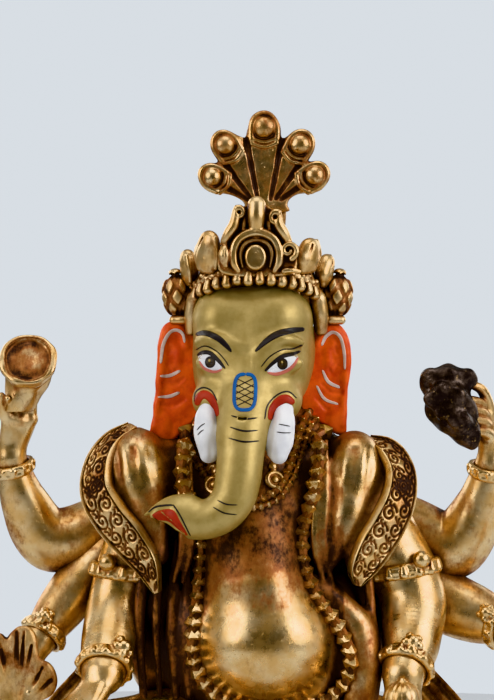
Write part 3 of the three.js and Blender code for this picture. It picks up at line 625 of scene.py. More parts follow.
def make_tusk(side):
    """A short tusk of two fused lobes. The pair sits a little off the head's middle."""
    x = side * 9.5 - 0.8
    clay = Clay((x - 8, -29, 126), (x + 8, -12, 151), 0.22)
    line = [(x + 0.6 * side, -17.2, 145.6), (x + 1.0 * side, -20.6, 141.5),
            (x + 0.7 * side, -22.4, 136.4), (x, -23.0, 132.2)]
    clay.limb(line, [2.2, 3.0, 3.2, 2.6], soft=0)
    inner = [(x - 1.9 * side, -20.4, 141.6), (x - 2.5 * side, -22.2, 137), (x - 2.1 * side, -22.8, 132.6)]
    clay.limb(inner, [1.2, 1.9, 1.4], soft=0.7)
    groove = [(x - 1.3 * side, -24.8, 142), (x - 1.6 * side, -26.4, 137), (x - 1.3 * side, -25.8, 131)]
    clay.limb(groove, 0.75, soft=0.9, carve=True)
    clay.waver(0.18, 4.5, seed=5)
    return clay.cast(sided("tusk", side), WHITE, "white_paint", **HEAD_PLACE)


EAR_OUTLINES = {
    "ear_right": [
        (-24, 167.6), (-26.2, 164.7), (-26.7, 158.6), (-27.3, 151.9), (-28, 143.8), (-28.6, 139.1),
        (-29.8, 135.8), (-28.7, 134.2), (-25, 134), (-22.3, 135), (-19.6, 138.4), (-15.5, 142), (-15, 155),
        (-15.5, 166), (-18.4, 167.4), (-21, 168),
    ],
    "ear_left": [
        (17, 166.6), (20.9, 167.5), (23.8, 166.6), (26.1, 162.4), (26.4, 156.6), (25.6, 149.9),
        (25.3, 141.1), (25.0, 137.2), (23, 136.8), (19.6, 139), (16.2, 140.6), (12.6, 142.4),
        (12.8, 155), (14, 165.5),
    ],
}
EAR_RIMS = {
    "ear_right": [(-19, 161), (-20.2, 165.3), (-23.4, 166), (-25.4, 161.6), (-25.9, 155), (-26.6, 147),
                  (-27.6, 139)],
    "ear_left": [(17, 161.5), (18.8, 165), (22, 165.8), (24.8, 161.5), (25.2, 155), (24.5, 147),
                 (24.1, 139.5)],
}
EAR_FOLDS = {
    "ear_right": [
        [(-23.8, 159), (-22.6, 161.6), (-21.1, 160), (-21.2, 156), (-22.6, 153.4), (-24, 155.6)],
        [(-25.4, 151), (-22.4, 150.4), (-19.8, 152)],
        [(-25.8, 144.8), (-22.6, 144.6), (-19.6, 146.2)],
    ],
    "ear_left": [
        [(22.8, 159), (21.6, 161.6), (20.1, 160), (20.2, 156), (21.4, 153.4), (22.8, 155.6)],
        [(18.6, 150.6), (21, 148.4), (23.8, 148.2)],
        [(17.2, 146.4), (19.8, 143.6), (23.4, 142.6)],
    ],
}
EAR_LOBES = {"ear_right": (-25.4, 138.6), "ear_left": (22.2, 141.0)}


def make_ear(name):
    """A flat ear with a rolled rim, three carved folds and a hanging lobe."""
    outline = closed_spline(EAR_OUTLINES[name], 90)
    low, high = outline.min(0), outline.max(0)
    front = -4.4
    clay = Clay((low[0] - 2, -9, low[1] - 2), (high[0] + 2, 4, high[1] + 2), 0.25)
    clay.slab(outline, -2.4, 1.6, round_by=1.1)
    clay.limb([(x, front + 0.6, z) for x, z in EAR_RIMS[name]], [0.8, 1.2, 1.3, 1.2, 1.1, 1.0, 0.8],
              soft=1.0)
    for fold in EAR_FOLDS[name]:
        clay.limb([(x, front + 0.2, z) for x, z in fold], 0.42, soft=0.7, carve=True)
    fold = EAR_FOLDS[name][0]
    clay.limb([(x, front + 0.9, z) for x, z in fold[1:4]], 0.8, soft=1.2)
    x, z = EAR_LOBES[name]
    clay.ball((x, front + 0.8, z), (1.9, 1.2, 3.6), soft=1.2)
    clay.waver(0.2, 5, seed=9)
    return clay.cast(name, ORANGE, "orange_paint")


# ---------------------------------------------------------------- paint on the face

class Surface:
    """Finds points on finished pieces, in millimetres."""

    def __init__(self, *pieces):
        self.trees = []
        for piece in pieces:
            mesh = piece.data
            verts = np.empty(len(mesh.vertices) * 3)
            mesh.vertices.foreach_get("co", verts)
            corners = np.empty(len(mesh.loops), dtype=np.int32)
            mesh.loops.foreach_get("vertex_index", corners)
            rows = [Vector(v) for v in verts.reshape(-1, 3) / MM]
            self.trees.append(BVHTree.FromPolygons(rows, corners.reshape(-1, 4).tolist()))

    def front(self, x, z):
        """The first surface point met from the front at x, z, and its normal."""
        best = None
        for tree in self.trees:
            spot, normal, _, _ = tree.ray_cast(Vector((x, -80, z)), Vector((0, 1, 0)))
            if spot is not None and (best is None or spot.y < best[0][1]):
                best = (np.array(spot), np.array(normal))
        return best

    def near(self, point):
        """The closest surface point and its normal."""
        best = None
        for tree in self.trees:
            spot, normal, _, gap = tree.find_nearest(Vector(point))
            if spot is not None and (best is None or gap < best[2]):
                best = (np.array(spot), np.array(normal), gap)
        return best[0], best[1]


class Brush(Surface):
    """Lays thin films of paint on a surface, drawn as seen from the front.

    A spot that misses the surface slides back to the last one that met it.
    """

    def __init__(self, *pieces):
        super().__init__(*pieces)
        self.verts, self.faces = [], []

    def _film(self, grid, thick):
        """A closed film over a grid of (x, z) spots: its top stands proud and its skirt is sunk."""
        top, under = [], []
        found = None
        for row in grid:
            for x, z in row:
                found = self.front(x, z) or found
                if found is None:
                    return
                spot, normal = found
                top.append(spot + normal * thick)
                under.append(spot - normal * 0.3)
        self.faces += slab_faces(len(grid), len(grid[0]), start=len(self.verts))
        self.verts += top + under

    def stroke(self, points, widths, thick=0.09, across=4, per_mm=2.2):
        """One stroke along a smooth line, with a width at each of its points."""
        widths = np.broadcast_to(np.asarray(widths, dtype=float), len(points))
        rows = spline(np.column_stack([np.asarray(points, dtype=float), widths]), 40)
        length = np.linalg.norm(np.diff(rows[:, :2], axis=0), axis=1).sum()
        rows = even(rows, max(5, int(length * per_mm)))
        ahead = unit(np.gradient(rows[:, :2], axis=0))
        aside = np.stack([-ahead[:, 1], ahead[:, 0]], axis=1)
        taper = np.ones(len(rows))
        taper[0] = taper[-1] = 0.45
        grid = []
        for row, side, share in zip(rows, aside, taper):
            half = 0.5 * row[2] * share
            grid.append([tuple(row[:2] + side * half * s) for s in np.linspace(-1, 1, across + 1)])
        self._film(grid, thick)
        return self

    def patch(self, outline, thick=0.06, rings=7, count=36):
        """A filled shape within a smooth closed outline."""
        edge = closed_spline(outline, count)
        edge = np.vstack([edge, edge[:1]])
        middle = edge[:-1].mean(0)
        shares = np.linspace(0.02, 1, rings)
        grid = [[tuple(middle + (p - middle) * s) for p in edge] for s in shares]
        self._film(grid, thick)
        return self

    def done(self, name, material, slot):
        """All the strokes so far as one piece."""
        return settle(mesh_object(name, self.verts, self.faces, material))


IRISES = ((-12.1, 156.7), (7.35, 156.25))


def boxy(v):
    """A sine or cosine pushed outwards, so that an oval gets squarer corners."""
    return math.copysign(abs(v) ** 0.62, v)


def paint_eyes(head):
    """The whites, the irises with a painted highlight, and the pink lower lids."""
    skin = Brush(head)
    skin.patch([(-15.5, 158.2), (-13.2, 158.9), (-11.2, 158.2), (-8.9, 155.2), (-10.5, 154.5),
                (-12.9, 154.9), (-14.6, 156.2)])
    skin.patch([(3.2, 154.2), (5.4, 156.7), (8.1, 158.1), (11.4, 158.5), (10.4, 156.0), (7.5, 154.5),
                (5.2, 153.9)])
    skin.done("eye_whites", WHITE, "gold_paint")

    iris = Brush(head)
    for x, z in IRISES:
        ring = [(x + 1.4 * math.cos(a), z + 1.5 * math.sin(a)) for a in angles(8)]
        iris.patch(ring, thick=0.11, rings=4)
    iris.done("irises", EYE_BROWN, "gold_paint")

    # Painted highlight: a small gold dot on each iris stands for a glint of light.
    glint = Brush(head)
    for x, z in ((-12.3, 157.1), (7.2, 156.7)):
        ring = [(x + 0.3 * math.cos(a), z + 0.36 * math.sin(a)) for a in angles(6)]
        glint.patch(ring, thick=0.2, rings=3, count=14)
    glint.done("pupil_glints", GOLD_PAINT, "gold_paint")

    pink = Brush(head)
    pink.stroke([(-15.1, 157.0), (-14.0, 155.3), (-12.4, 154.4), (-10.6, 154.1), (-8.9, 154.8)],
                [0.5, 0.7, 0.8, 0.7, 0.4])
    pink.stroke([(3.3, 153.9), (5.6, 153.5), (8.0, 154.2), (10.1, 155.6), (11.6, 157.9)],
                [0.5, 0.9, 0.9, 0.9, 0.5])
    pink.done("lower_lids", PINK, "gold_paint")


def paint_lines(head):
    """Every black line: brows, lids, tusk sockets, trunk wrinkles, the lip and the forehead lattice."""
    black = Brush(head)
    black.stroke([(-16.2, 164.2), (-13.5, 164.6), (-10.1, 163.2), (-7.8, 161.2), (-6.4, 159.5)],
                 [0.9, 1.5, 1.6, 1.3, 0.6])
    black.stroke([(0.0, 159.6), (3.0, 162.4), (6.1, 164.3), (9.5, 165.2), (13.4, 165.7)],
                 [0.6, 1.5, 1.8, 1.7, 1.1])
    black.stroke([(-16.2, 160.0), (-13.5, 161.1), (-10.5, 159.7), (-8.4, 157.6), (-7.2, 155.8)], 0.32)
    black.stroke([(1.6, 155.5), (4.05, 158.3), (7.4, 160.1), (10.1, 160.3), (12.8, 161.4)],
                 [0.3, 0.35, 0.35, 0.4, 0.5])
    black.stroke([(-15.8, 158.5), (-14.2, 159.3), (-12.1, 159.1), (-9.8, 157.0), (-8.1, 155.0)],
                 [0.5, 1.1, 1.2, 1.0, 0.5])
    black.stroke([(2.6, 154.3), (4.7, 156.4), (7.4, 158.3), (10.1, 158.9), (12.3, 159.7)],
                 [0.6, 1.0, 1.2, 1.0, 0.6])
    for x, z in IRISES:
        ring = [(x + 1.3 * math.cos(a), z + 1.4 * math.sin(a)) for a in np.linspace(0, 2 * math.pi, 13)]
        black.stroke(ring, 0.3, thick=0.15)
    for left, right in (((-6.4, 142.5), (0.5, 141.9)), ((-6.75, 139.5), (0.6, 138.6)),
                        ((-7.1, 136.6), (1.0, 135.8))):
        dip = ((left[0] + right[0]) / 2, (left[1] + right[1]) / 2 - 0.55)
        black.stroke([left, dip, right], [0.3, 0.5, 0.35])
    black.stroke([(-10.0, 120.2), (-7.6, 119.2), (-4.7, 119.0)], [0.3, 0.4, 0.25])
    black.stroke([(-11.2, 118.4), (-8.2, 116.9), (-4.9, 116.4)], [0.3, 0.4, 0.25])
    black.stroke([(-16.4, 145.9), (-16.2, 148.4), (-14.2, 149.8), (-11.8, 149.0), (-10.2, 146.3)],
                 [0.25, 0.35, 0.4, 0.4, 0.3])
    black.stroke([(2.5, 141.5), (3.3, 145.2), (6.0, 148.0), (8.9, 148.8), (11.2, 147.0)],
                 [0.3, 0.4, 0.4, 0.4, 0.3])
    black.stroke([(-28.6, 116.6), (-26.7, 118.0), (-24.2, 118.6), (-21.8, 118.8)], [0.3, 0.45, 0.5, 0.45])
    black.stroke([(-21.8, 118.9), (-19.9, 116.1), (-17.2, 110.6)], [0.45, 0.4, 0.35])
    for low in (144.9, 146.6, 148.3, 150.0):
        for slope in (1, -1):
            black.stroke([(-2.75 - 2.5 * slope, low), (-2.75 + 2.5 * slope, low + 2.5)], 0.22, thick=0.1)
    black.done("painted_lines", BLACK, "gold_paint")


def paint_marks(head):
    """The blue forehead mark, and the red round the tusks and in the trunk's opening."""
    blue = Brush(head)
    oval = []
    for a in np.linspace(0, 2 * math.pi, 33):
        x = -2.75 + 2.85 * boxy(math.sin(a))
        z = 148.75 + 4.75 * boxy(math.cos(a))
        oval.append((x + 0.04 * (z - 148.7), z))
    blue.stroke(oval, 0.9, thick=0.14)
    blue.done("forehead_mark", BLUE, "gold_paint")

    red = Brush(head)
    red.stroke([(-15.7, 145.0), (-15.2, 147.0), (-13.7, 148.0), (-11.9, 146.9), (-10.7, 144.4),
                (-10.2, 142.2)], [1.4, 2.1, 2.3, 2.1, 1.7, 1.1])
    red.stroke([(3.9, 141.3), (4.7, 144.2), (6.5, 146.3), (8.5, 146.9), (10.4, 145.6)],
               [1.3, 2.1, 2.4, 2.2, 1.5])
    red.patch([(-28.0, 115.4), (-25.6, 117.2), (-21.9, 117.6), (-19.9, 114.6), (-17.9, 110.6),
               (-20.9, 112.4), (-23.2, 114.2), (-26.6, 114.6)])
    red.done("red_openings", RED, "gold_paint")


def paint_ears(ears):
    """Pale strokes that follow each ear's folds."""
    chalk = Brush(*ears)
    arch = [0.7, 1.0, 0.9, 0.9, 0.9, 0.6]
    chalk.stroke([(-26, 156.3), (-25.3, 161.4), (-23.6, 164.7), (-21.6, 165.5), (-19.9, 164.4),
                  (-19.4, 162.0)], arch)
    chalk.stroke([(-26.2, 152.8), (-23.6, 152.9), (-20.6, 154.3)], [0.6, 1.0, 0.8])
    chalk.stroke([(-26.8, 147), (-23.6, 147.2), (-20.8, 148.3)], [0.5, 1.0, 0.8])
    chalk.stroke([(18.4, 161.2), (19.6, 163.7), (21.6, 164.9), (23.6, 163.4), (24.6, 159.3),
                  (24.8, 154.6)], arch)
    chalk.stroke([(18.6, 154.5), (20.3, 151.2), (23.5, 149.6)], [0.6, 1.0, 0.8])
    chalk.stroke([(17, 150.2), (19.2, 146.5), (23, 145)], [0.6, 0.9, 0.6])
    chalk.done("ear_strokes", CHALK, "orange_paint")


def paint_tusks(tusks):
    """Two short black dashes on each tusk."""
    dash = Brush(*tusks)
    dash.stroke([(-15.6, 138.5), (-14.6, 139.6), (-13.5, 140.3)], 0.26)
    dash.stroke([(-15.4, 137.2), (-14.6, 138.1), (-13.8, 138.6)], 0.26)
    dash.stroke([(6.3, 140.2), (7.9, 139.9), (9.3, 139.6)], 0.26)
    dash.stroke([(5.8, 138.1), (7.6, 137.9), (9.5, 137.9)], 0.26)
    dash.done("tusk_dashes", BLACK, "white_paint")


# ---------------------------------------------------------------- crown

CROWN_AXIS = np.array([0.5, -1.0])


def crown_spot(x, radius, z, back=False):
    """The point at world x on a circle round the crown's axis, and the way it faces."""
    dx = x - CROWN_AXIS[0]
    dy = math.sqrt(max(radius * radius - dx * dx, 0.01)) * (1 if back else -1)
    return (x, CROWN_AXIS[1] + dy, z), facing((dx, dy, 0))


def leaf(clay, half_width, half_height, thick=1.5):
    """A fat jewel bud with a blunt, bent tip and a rolled edge, its foot at local z = -half_height."""
    clay.ball((0, 0, -0.22 * half_height), (half_width, thick, half_height * 0.80), soft=0.8)
    tip = (0.72 * half_width, thick * 0.9, 0.56 * half_height)
    clay.ball((0.16 * half_width, -0.3, 0.40 * half_height), tip, soft=1.2)
    edge = [(-0.60 * half_width, -thick * 0.80, -0.62 * half_height),
            (-0.42 * half_width, -thick * 1.0, 0.0),
            (0.0, -thick * 0.8, 0.62 * half_height)]
    clay.limb(edge, 0.24, soft=0.35, carve=True)
    roll = [(0.86 * half_width, -0.5, -0.66 * half_height), (0.98 * half_width, -0.7, 0.0),
            (0.72 * half_width, -0.8, 0.72 * half_height)]
    clay.limb(roll, 0.6, soft=0.4)


CROWN_LEAVES = {
    # name: world x, height of its middle, half width, half height, lean in degrees
    "crown_leaf_front_right": (-12.9, 187.0, 4.7, 6.0, 12),
    "crown_leaf_front_left": (14.2, 186.0, 4.3, 4.7, -8),
    "crown_leaf_side_right": (-18.2, 183.0, 4.0, 5.2, 12),
    "crown_leaf_side_left": (19.2, 182.2, 4.2, 4.4, -14),
    "crown_leaf_back_right": (-13.6, 182.8, 4.4, 5.6, 0),
    "crown_leaf_back_left": (14.4, 182.8, 4.4, 5.6, 0),
}


def make_crown_leaves():
    """Six buds round the cap, each leaning its own way."""
    for name, (x, z, width, height, lean) in CROWN_LEAVES.items():
        spot, way = crown_spot(x, 19.2, z, back="back" in name)
        clay = Clay(np.subtract(spot, 8.5), np.add(spot, 8.5), 0.25)
        clay.at(spot, way @ turn(x=6, y=lean))
        leaf(clay, width, height, 2.5)
        clay.limb([(-0.4 * width, 0.2, -0.8 * height), (0.4 * width, 0.2, -0.8 * height)], 1.5, soft=0.8)
        clay.cast(name, GILT_CROWN)


def make_crown_band():
    """The brow band: drop-shaped beads and a rib right round the head, and the wall the leaves stand on."""
    clay = Clay((-23, -25, 164), (24, 22, 193), 0.3)
    count = 38
    centre = np.array([HEAD_AXIS[0] - 0.2, HEAD_AXIS[1] + 1.2])

    def spot(a, radius, lift=0.0):
        rise = 170.8 + 8.4 * max(0.0, math.cos(a)) ** 0.9
        return (centre[0] + radius * math.sin(a), centre[1] - radius * math.cos(a), rise + lift)

    around = angles(27)
    clay.limb([spot(a, 17.2, 2.6) for a in around], 1.5, closed=True, count=90)
    for n, a in enumerate(np.linspace(-1.9, 1.9, 27)):
        top = 9.6 - 3.6 * abs(a) + 0.5 * math.sin(5 * n)
        clay.limb([spot(a, 17.6, 3.2), spot(a, 17.2, 0.5 * top + 1), spot(a, 16.8, top)],
                  [1.2, 1.25, 0.8], soft=0.35)
    for n in range(count):
        a = 2 * math.pi * n / count + 0.05
        size = 1.5 + 0.1 * math.sin(7.3 * n)
        clay.limb([spot(a, 18.2, 1.4), spot(a, 18.5, -0.2 - 0.2 * math.sin(3.1 * n))],
                  [size * 0.8, size], soft=0.1, count=3)
    for n, a in enumerate(np.linspace(-2.6, 2.6, 60)):
        clay.ball(spot(a, 18.4 + 0.2 * math.sin(3 * n), 3.6 + 0.7 * math.sin(2.1 * n)),
                  0.62 + 0.2 * math.sin(1.7 * n), soft=0.2)
    for side in (RIGHT, LEFT):
        clay.limb([(0.4 + side * 17.0, -7.5, 174), (0.4 + side * 17.6, -6.5, 169.5),
                   (0.4 + side * 17.8, -5.5, 165.5)], [2.2, 2.3, 1.8], soft=0.8)
    return clay.cast("crown_band", GILT_CROWN)


def make_crown_cap():
    """The domed cap under the leaves: rows of hair-like ribs and a small knob behind the crest."""
    clay = Clay((-21, -22, 165), (22, 22, 201), 0.35)
    clay.ball((0.5, 0.5, 176), (17.6, 17.0, 15.6), soft=0)
    slope = ((17.0, 175), (15.6, 182), (11.4, 188.2), (5.5, 191.6))
    for a in angles(26):
        rib = [(0.5 + r * math.sin(a), 0.5 - r * math.cos(a), z) for r, z in slope]
        clay.limb(rib, [0.8, 0.8, 0.7, 0.4], soft=0.7)
    clay.ball((0.5, 1, 191.6), (6, 6, 3.4), soft=1.5)
    clay.ball((0.5, 1, 195), (3.4, 3.4, 3.0), soft=1.0)
    ring = [(0.5 + 5 * math.sin(a), 1 - 5 * math.cos(a), 192.6) for a in angles(12)]
    clay.limb(ring, 0.8, soft=0.5, closed=True, count=36)
    clay.ball((0.5, -18, 163.5), (20, 11, 16), soft=1, carve=True)
    return clay.cast("crown_cap", GILT_WORN)


def make_medallion():
    """The front crest: a disc in two horseshoe rings, between scrolls, under a round-headed tongue."""
    y = -20.4
    clay = Clay((-14, -25, 176), (15, -13, 205), 0.22)
    clay.at((0.3, y, 0))
    backing = closed_spline([(-9.6, 181.0), (-9.8, 187), (-6.8, 192.4), (-5.0, 197.0), (-2.4, 199.4),
                             (2.6, 199.4), (5.4, 196.4), (7.6, 192.4), (10.4, 187), (10.2, 181.0),
                             (0, 179.6)], 60)
    clay.slab(backing, 1.9, 1.1, round_by=0.7)
    clay.disc((-0.2, -0.1, 185.0), 2.9, 1.5, round_by=0.8, wide=1.2)
    clay.limb([(-3.7, 0.3, 182.6), (-4.2, 0.1, 186), (-3.0, 0, 188.7), (0, 0, 189.7), (3.0, 0, 188.7),
               (4.2, 0.1, 186), (3.7, 0.3, 182.6)],
              [0.4, 0.65, 0.75, 0.8, 0.75, 0.65, 0.4], soft=0.2)
    shoe = [(-4.8, 0.4, 181.4), (-6.1, 0, 183.8), (-6.1, -0.2, 187.2), (-4.3, -0.4, 190.4),
            (0, -0.5, 191.9), (4.3, -0.4, 190.4), (6.1, -0.2, 187.2), (6.1, 0, 183.8), (4.9, 0.4, 181.4)]
    clay.limb(shoe, [0.7, 1.1, 1.15, 1.2, 1.25, 1.2, 1.15, 1.1, 0.7], soft=0.25, count=48)
    clay.limb([(px * 0.97, py - 1.35, pz) for px, py, pz in shoe[1:-1]], 0.28, soft=0.3, carve=True,
              count=40)
    clay.limb([(0, 0.4, 192.2), (0, -0.5, 195.8), (0.1, -0.2, 199.1)], [1.9, 2.4, 2.45], soft=0.5)
    curls = {RIGHT: (-4.7, 197.2, 1.5), LEFT: (5.3, 195.8, 1.9)}
    for side, (cx, cz, size) in curls.items():
        stem = [(side * 8.6, 0.6, 189.4), (side * 7.4, -0.1, 191.6), (side * 6.0, -0.4, 194.0),
                (cx + side * 0.6, -0.4, cz + 0.4)]
        clay.limb(stem, [1.1, 1.4, 1.4, 1.1], soft=0.4)
        coil = [(cx + size * 0.75 * math.sin(t) * side, -0.8,
                 cz + size * 0.75 * math.cos(t)) for t in np.linspace(0.4, -4.4, 9)]
        clay.limb(coil, np.linspace(0.95, 0.5, 9), soft=0.25, count=40)
        clay.ball((cx, -1.0, cz), (0.5, 0.7, 0.5), soft=0.3, carve=True)
        clay.limb([(side * 3.6, 0.2, 191.8), (side * 3.2, -0.1, 194.4), (side * 3.0, 0.2, 196.6)],
                  [0.6, 0.7, 0.4], soft=0.4)
    clay.limb([(-8.2, 0.6, 183.0), (-8.7, -0.1, 185.7), (-8.2, 0.4, 188.6)], [0.9, 1.55, 0.6], soft=0.4)
    clay.limb([(-8.1, -1.5, 184), (-8.4, -1.7, 186), (-8.1, -1.2, 187.8)], 0.25, soft=0.3, carve=True)
    spiral = [(8.7 + (2.1 - 0.24 * t) * math.cos(t), -0.3,
               186.9 + (2.1 - 0.24 * t) * math.sin(t)) for t in np.linspace(-1.2, 6.0, 14)]
    clay.limb(spiral, np.linspace(0.8, 0.5, 14), soft=0.25, count=56)
    clay.limb([(7.4, 0.5, 181.4), (9.6, 0.9, 181.6), (11.6, 1.6, 181.2)], [0.8, 0.8, 0.6], soft=0.4)
    return clay.cast("crown_medallion", GILT_CROWN)


def make_rosette(side):
    """A boss like a fir cone above the ear, its scales cut by two sets of slanting grooves."""
    x = 22.6 if side == LEFT else -21.2
    clay = Clay((x - 8, -11, 164), (x + 8, 9, 186), 0.25)
    clay.at((x, -2.0, 174.9), turn(z=-25 * side, y=9 * side))
    clay.ball((0, 0, 0), (4.6, 5.1, 6.5), soft=0)
    clay.ball((0, 0, 6.0), (2.0, 2.4, 1.8), soft=0.8)
    for way in (RIGHT, LEFT):
        for n in range(6):
            line = []
            for height in np.linspace(-6.0, 6.0, 13):
                a = 2 * math.pi * n / 6 + way * 0.15 * height
                around = math.sqrt(max(0.02, 1 - (height / 6.4) ** 2))
                line.append((4.4 * around * math.sin(a), -5.0 * around * math.cos(a), height))
            clay.limb(line, 0.45, soft=0.7, carve=True, count=30)
    clay.limb([(-3.0, -1.5, -6.2), (0, -3.6, -6.6), (3.0, -1.5, -6.2)], 1.3, soft=0.8)
    return clay.cast(sided("crown_rosette", side), GILT_CROWN)


# ---------------------------------------------------------------- cobra hood

HOOD_Y = 2.8
HOOD_FOOT = (3.0, 199.0)
HOOD_OUTLINE = [
    (-2.9, 197.4), (-2.8, 199.0), (-3.8, 200.6), (-6.2, 201.9), (-9.0, 202.4), (-11.9, 202.6),
    (-13.8, 204.2), (-14.4, 207), (-13.1, 209.4), (-10.6, 210.6), (-9.8, 212.0), (-11.0, 213.8),
    (-11.2, 216.2), (-9.4, 218.4), (-6.6, 218.9), (-4.0, 217.8), (-2.6, 217.6), (-2.0, 220.4),
    (-0.6, 223.2), (2.4, 224.6), (5.4, 223.2), (6.7, 220.4), (7.3, 217.5), (8.7, 217.9), (10.7, 218.7),
    (13.2, 218.1), (14.9, 215.9), (14.5, 213.3), (13.7, 211.7), (15.4, 210.8), (18.4, 209.4),
    (19.1, 206.3), (18.0, 203.4), (15.0, 202.6), (11.6, 202.2), (9.4, 200.8), (8.7, 199.2), (8.5, 197.4),
]
COBRA_HEADS = [(2.4, 220.3, 2.6), (-8.2, 215.5, 2.3), (12.2, 215.6, 2.4), (-11.6, 206.8, 2.1),
               (16.2, 207.2, 2.3)]
HOOD_GROOVES = [((0.6, 201.2), (-2.4, 216.8)), ((4.2, 200.8), (7.2, 216.6)),
                ((-1.2, 201.0), (-8.6, 210.9)), ((5.6, 201.0), (12.9, 211.3)),
                ((-1.9, 200.6), (-8.4, 204.4)), ((7.0, 200.8), (12.6, 204.6))]


def hood_stain(points):
    """Wax fills the flat grooves between the necks and dulls the panel."""
    spots = points[:, [0, 2]]
    wax = np.full(len(points), 0.34)
    for low, high in HOOD_GROOVES:
        low, high = np.array(low), np.array(high)
        along = high - low
        share = np.clip((spots - low) @ along / (along @ along), 0, 1)
        away = np.linalg.norm(spots - low - share[:, None] * along, axis=1)
        wax = np.maximum(wax, 0.62 * np.clip(1.5 - away / (0.5 + 0.5 * share), 0, 1))
    return np.where(points[:, 1] < HOOD_Y + 0.4, wax, 0.3)


def make_hood():
    """The fan of five cobra heads: each is a ball under an arched rim, with two collar bars below it."""
    clay = Clay((-18, -3, 194), (23, 8, 227), 0.25)
    clay.at((0, HOOD_Y, 0))
    clay.slab(closed_spline(HOOD_OUTLINE, 150), 0.5, 1.2, round_by=0.7)
    for low, high in HOOD_GROOVES:
        clay.limb([(low[0], -0.75, low[1]), (high[0], -0.9, high[1])], [0.6, 0.95], soft=0.2,
                  carve=True, count=8)
    for x, z, size in COBRA_HEADS:
        up = unit([x - HOOD_FOOT[0], 0, z - HOOD_FOOT[1]])
        side = np.array([up[2], 0, -up[0]])
        spot = np.array([x, 0, z])
        clay.ball(spot + (0, -0.5, 0), (size + 0.4, 2.4, size + 0.4), soft=0.1)
        wide = size + 0.8
        half_arch = [(1.0, -size - 0.8), (1.0, 0.4), (0.62, 0.86 * wide)]
        bends = [(-out, rise) for out, rise in half_arch] + [(0, wide + 0.35)] + half_arch[::-1]
        arch = [spot + (0, -0.5, 0) + side * out * wide + up * rise for out, rise in bends]
        clay.limb(arch, 0.85, soft=0.5, count=30)
        for down in (1.1, 2.5):
            foot = spot - up * (size + down)
            bar = [foot - side * wide + up * 0.7, foot - up * 0.3, foot + side * wide + up * 0.7]
            clay.limb([p + (0, -0.65, 0) for p in bar], 0.6, soft=0.15, count=14)
    clay.waver(0.12, 5, seed=4)
    # Spread by 3% from a point inside the head.
    wider = np.diag([1.03, 1.0, 1.03])
    return clay.cast("naga_hood", GILT, rotation=wider, offset=(0.07, 0, -4.8), stain_and_shade=hood_stain)


def make_hood_stem():
    """The broad strip that carries the hood, from its foot down the back of the crown."""
    x, y = HOOD_FOOT[0] + 0.2, HOOD_Y
    clay = Clay((-7, -1, 166), (14, 24, 204), 0.3)
    line = spline([(x, y + 1.6, 201), (x, y + 3.0, 195), (x - 0.6, y + 8.5, 188),
                   (x - 1.6, y + 14.6, 180), (x - 2.6, y + 16.4, 168.5)], 40)
    for offset in np.linspace(-4.6, 4.6, 9):
        clay.limb([(px + offset * (1 - 0.3 * n / 10), py, pz) for n,
                   (px, py, pz) in enumerate(line[::4])], 1.1, soft=0.6, count=40)
    for n in range(3, 38, 4):
        px, py, pz = line[n]
        clay.limb([(px - 4.4, py + 0.7, pz + 0.5), (px, py + 1.1, pz - 0.3),
                   (px + 4.4, py + 0.7, pz + 0.5)], 0.5, soft=0.4, count=8)
    return clay.cast("naga_stem", GILT_DARK)


# ---------------------------------------------------------------- body

BANDS = {
    # name: the middle line and the half width at each of its points
    "shoulder_band_right": (
        [(-33.6, -4, 138.4), (-39.2, -7.6, 134.8), (-42.6, -10.8, 129), (-43.0, -13.6, 121.5),
         (-39.2, -16.2, 114.6), (-34.0, -18, 108.6), (-29.4, -18.8, 102.2), (-26.4, -18.6, 94.4)],
        [2.2, 3.4, 4.6, 5.4, 5.6, 5.4, 3.9, 0.8]),
    "shoulder_band_left": (
        [(30.8, -4, 134.6), (36.4, -8.6, 132.6), (39.6, -12, 126.8), (39.0, -15, 119.6),
         (35.8, -17.2, 112.6), (31.8, -18.6, 106.2), (28.6, -19, 100.4), (27.6, -18.8, 96.4)],
        [2.2, 3.8, 4.6, 5.2, 5.6, 5.4, 3.8, 1.0]),
}


def band_pivot(side):
    """The point inside a shoulder that its band faces away from."""
    return np.array([side * 21, 14, 118])


BELLY = ((3.0, -11.5, 80.5), (19.6, 20.6, 18.6))
CHEST = ((-0.8, -8.5, 106), (14.2, 13.2, 20))
DOMES = (((-32.4, -5.6, 126.0), (9.8, 10.6, 12.4)), ((27.2, -6.0, 126.0), (8.8, 10.4, 11.8)))


def within(points, ball, spread=0.14):
    """1 for points on or in an ellipsoid, fading to 0 a little outside it."""
    centre, radii = ball
    out = np.linalg.norm((points - np.array(centre)) / np.array(radii), axis=1)
    return np.clip((1 + spread - out) / spread, 0, 1)


def robe_wax_and_painted_shade(points):
    """Wax lies black on the robe and red on the neck, and painted shade darkens the chest. Belly and
    shoulders are rubbed bare.
    """
    x, y, z = points.T
    bare = within(points, BELLY, 0.1)
    for dome in DOMES:
        bare = np.maximum(bare, within(points, dome, 0.2) * np.clip((z - 104) / 16, 0.25, 0.9))
    ahead = np.clip((4 - y) / 8, 0.30, 1)
    dark = 0.95 * np.clip((118 - z) / 14, 0.45, 1) * np.clip((abs(x - 3) - 11) / 7, 0.3, 1)
    dark = np.where(x > 24, 0.55 * dark, dark)
    # Painted shade: the chest above the belly is darkened red-brown for the dark reflection of the trunk's
    # underside.
    middle = np.clip((16 - abs(x)) / 4, 0, 1) * np.clip((-4 - y) / 4, 0, 1)
    chest = 0.88 * middle * np.clip((z - 84) / 22, 0, 1)
    neck = 0.6 * np.clip((z - 130) / 6, 0, 1)
    # Below z 96 the bare belly is cleared a little more: a painted highlight on the lower belly.
    return np.maximum(np.maximum(dark * ahead * (1 - bare), chest), neck) - 0.10 * bare * (z < 96)


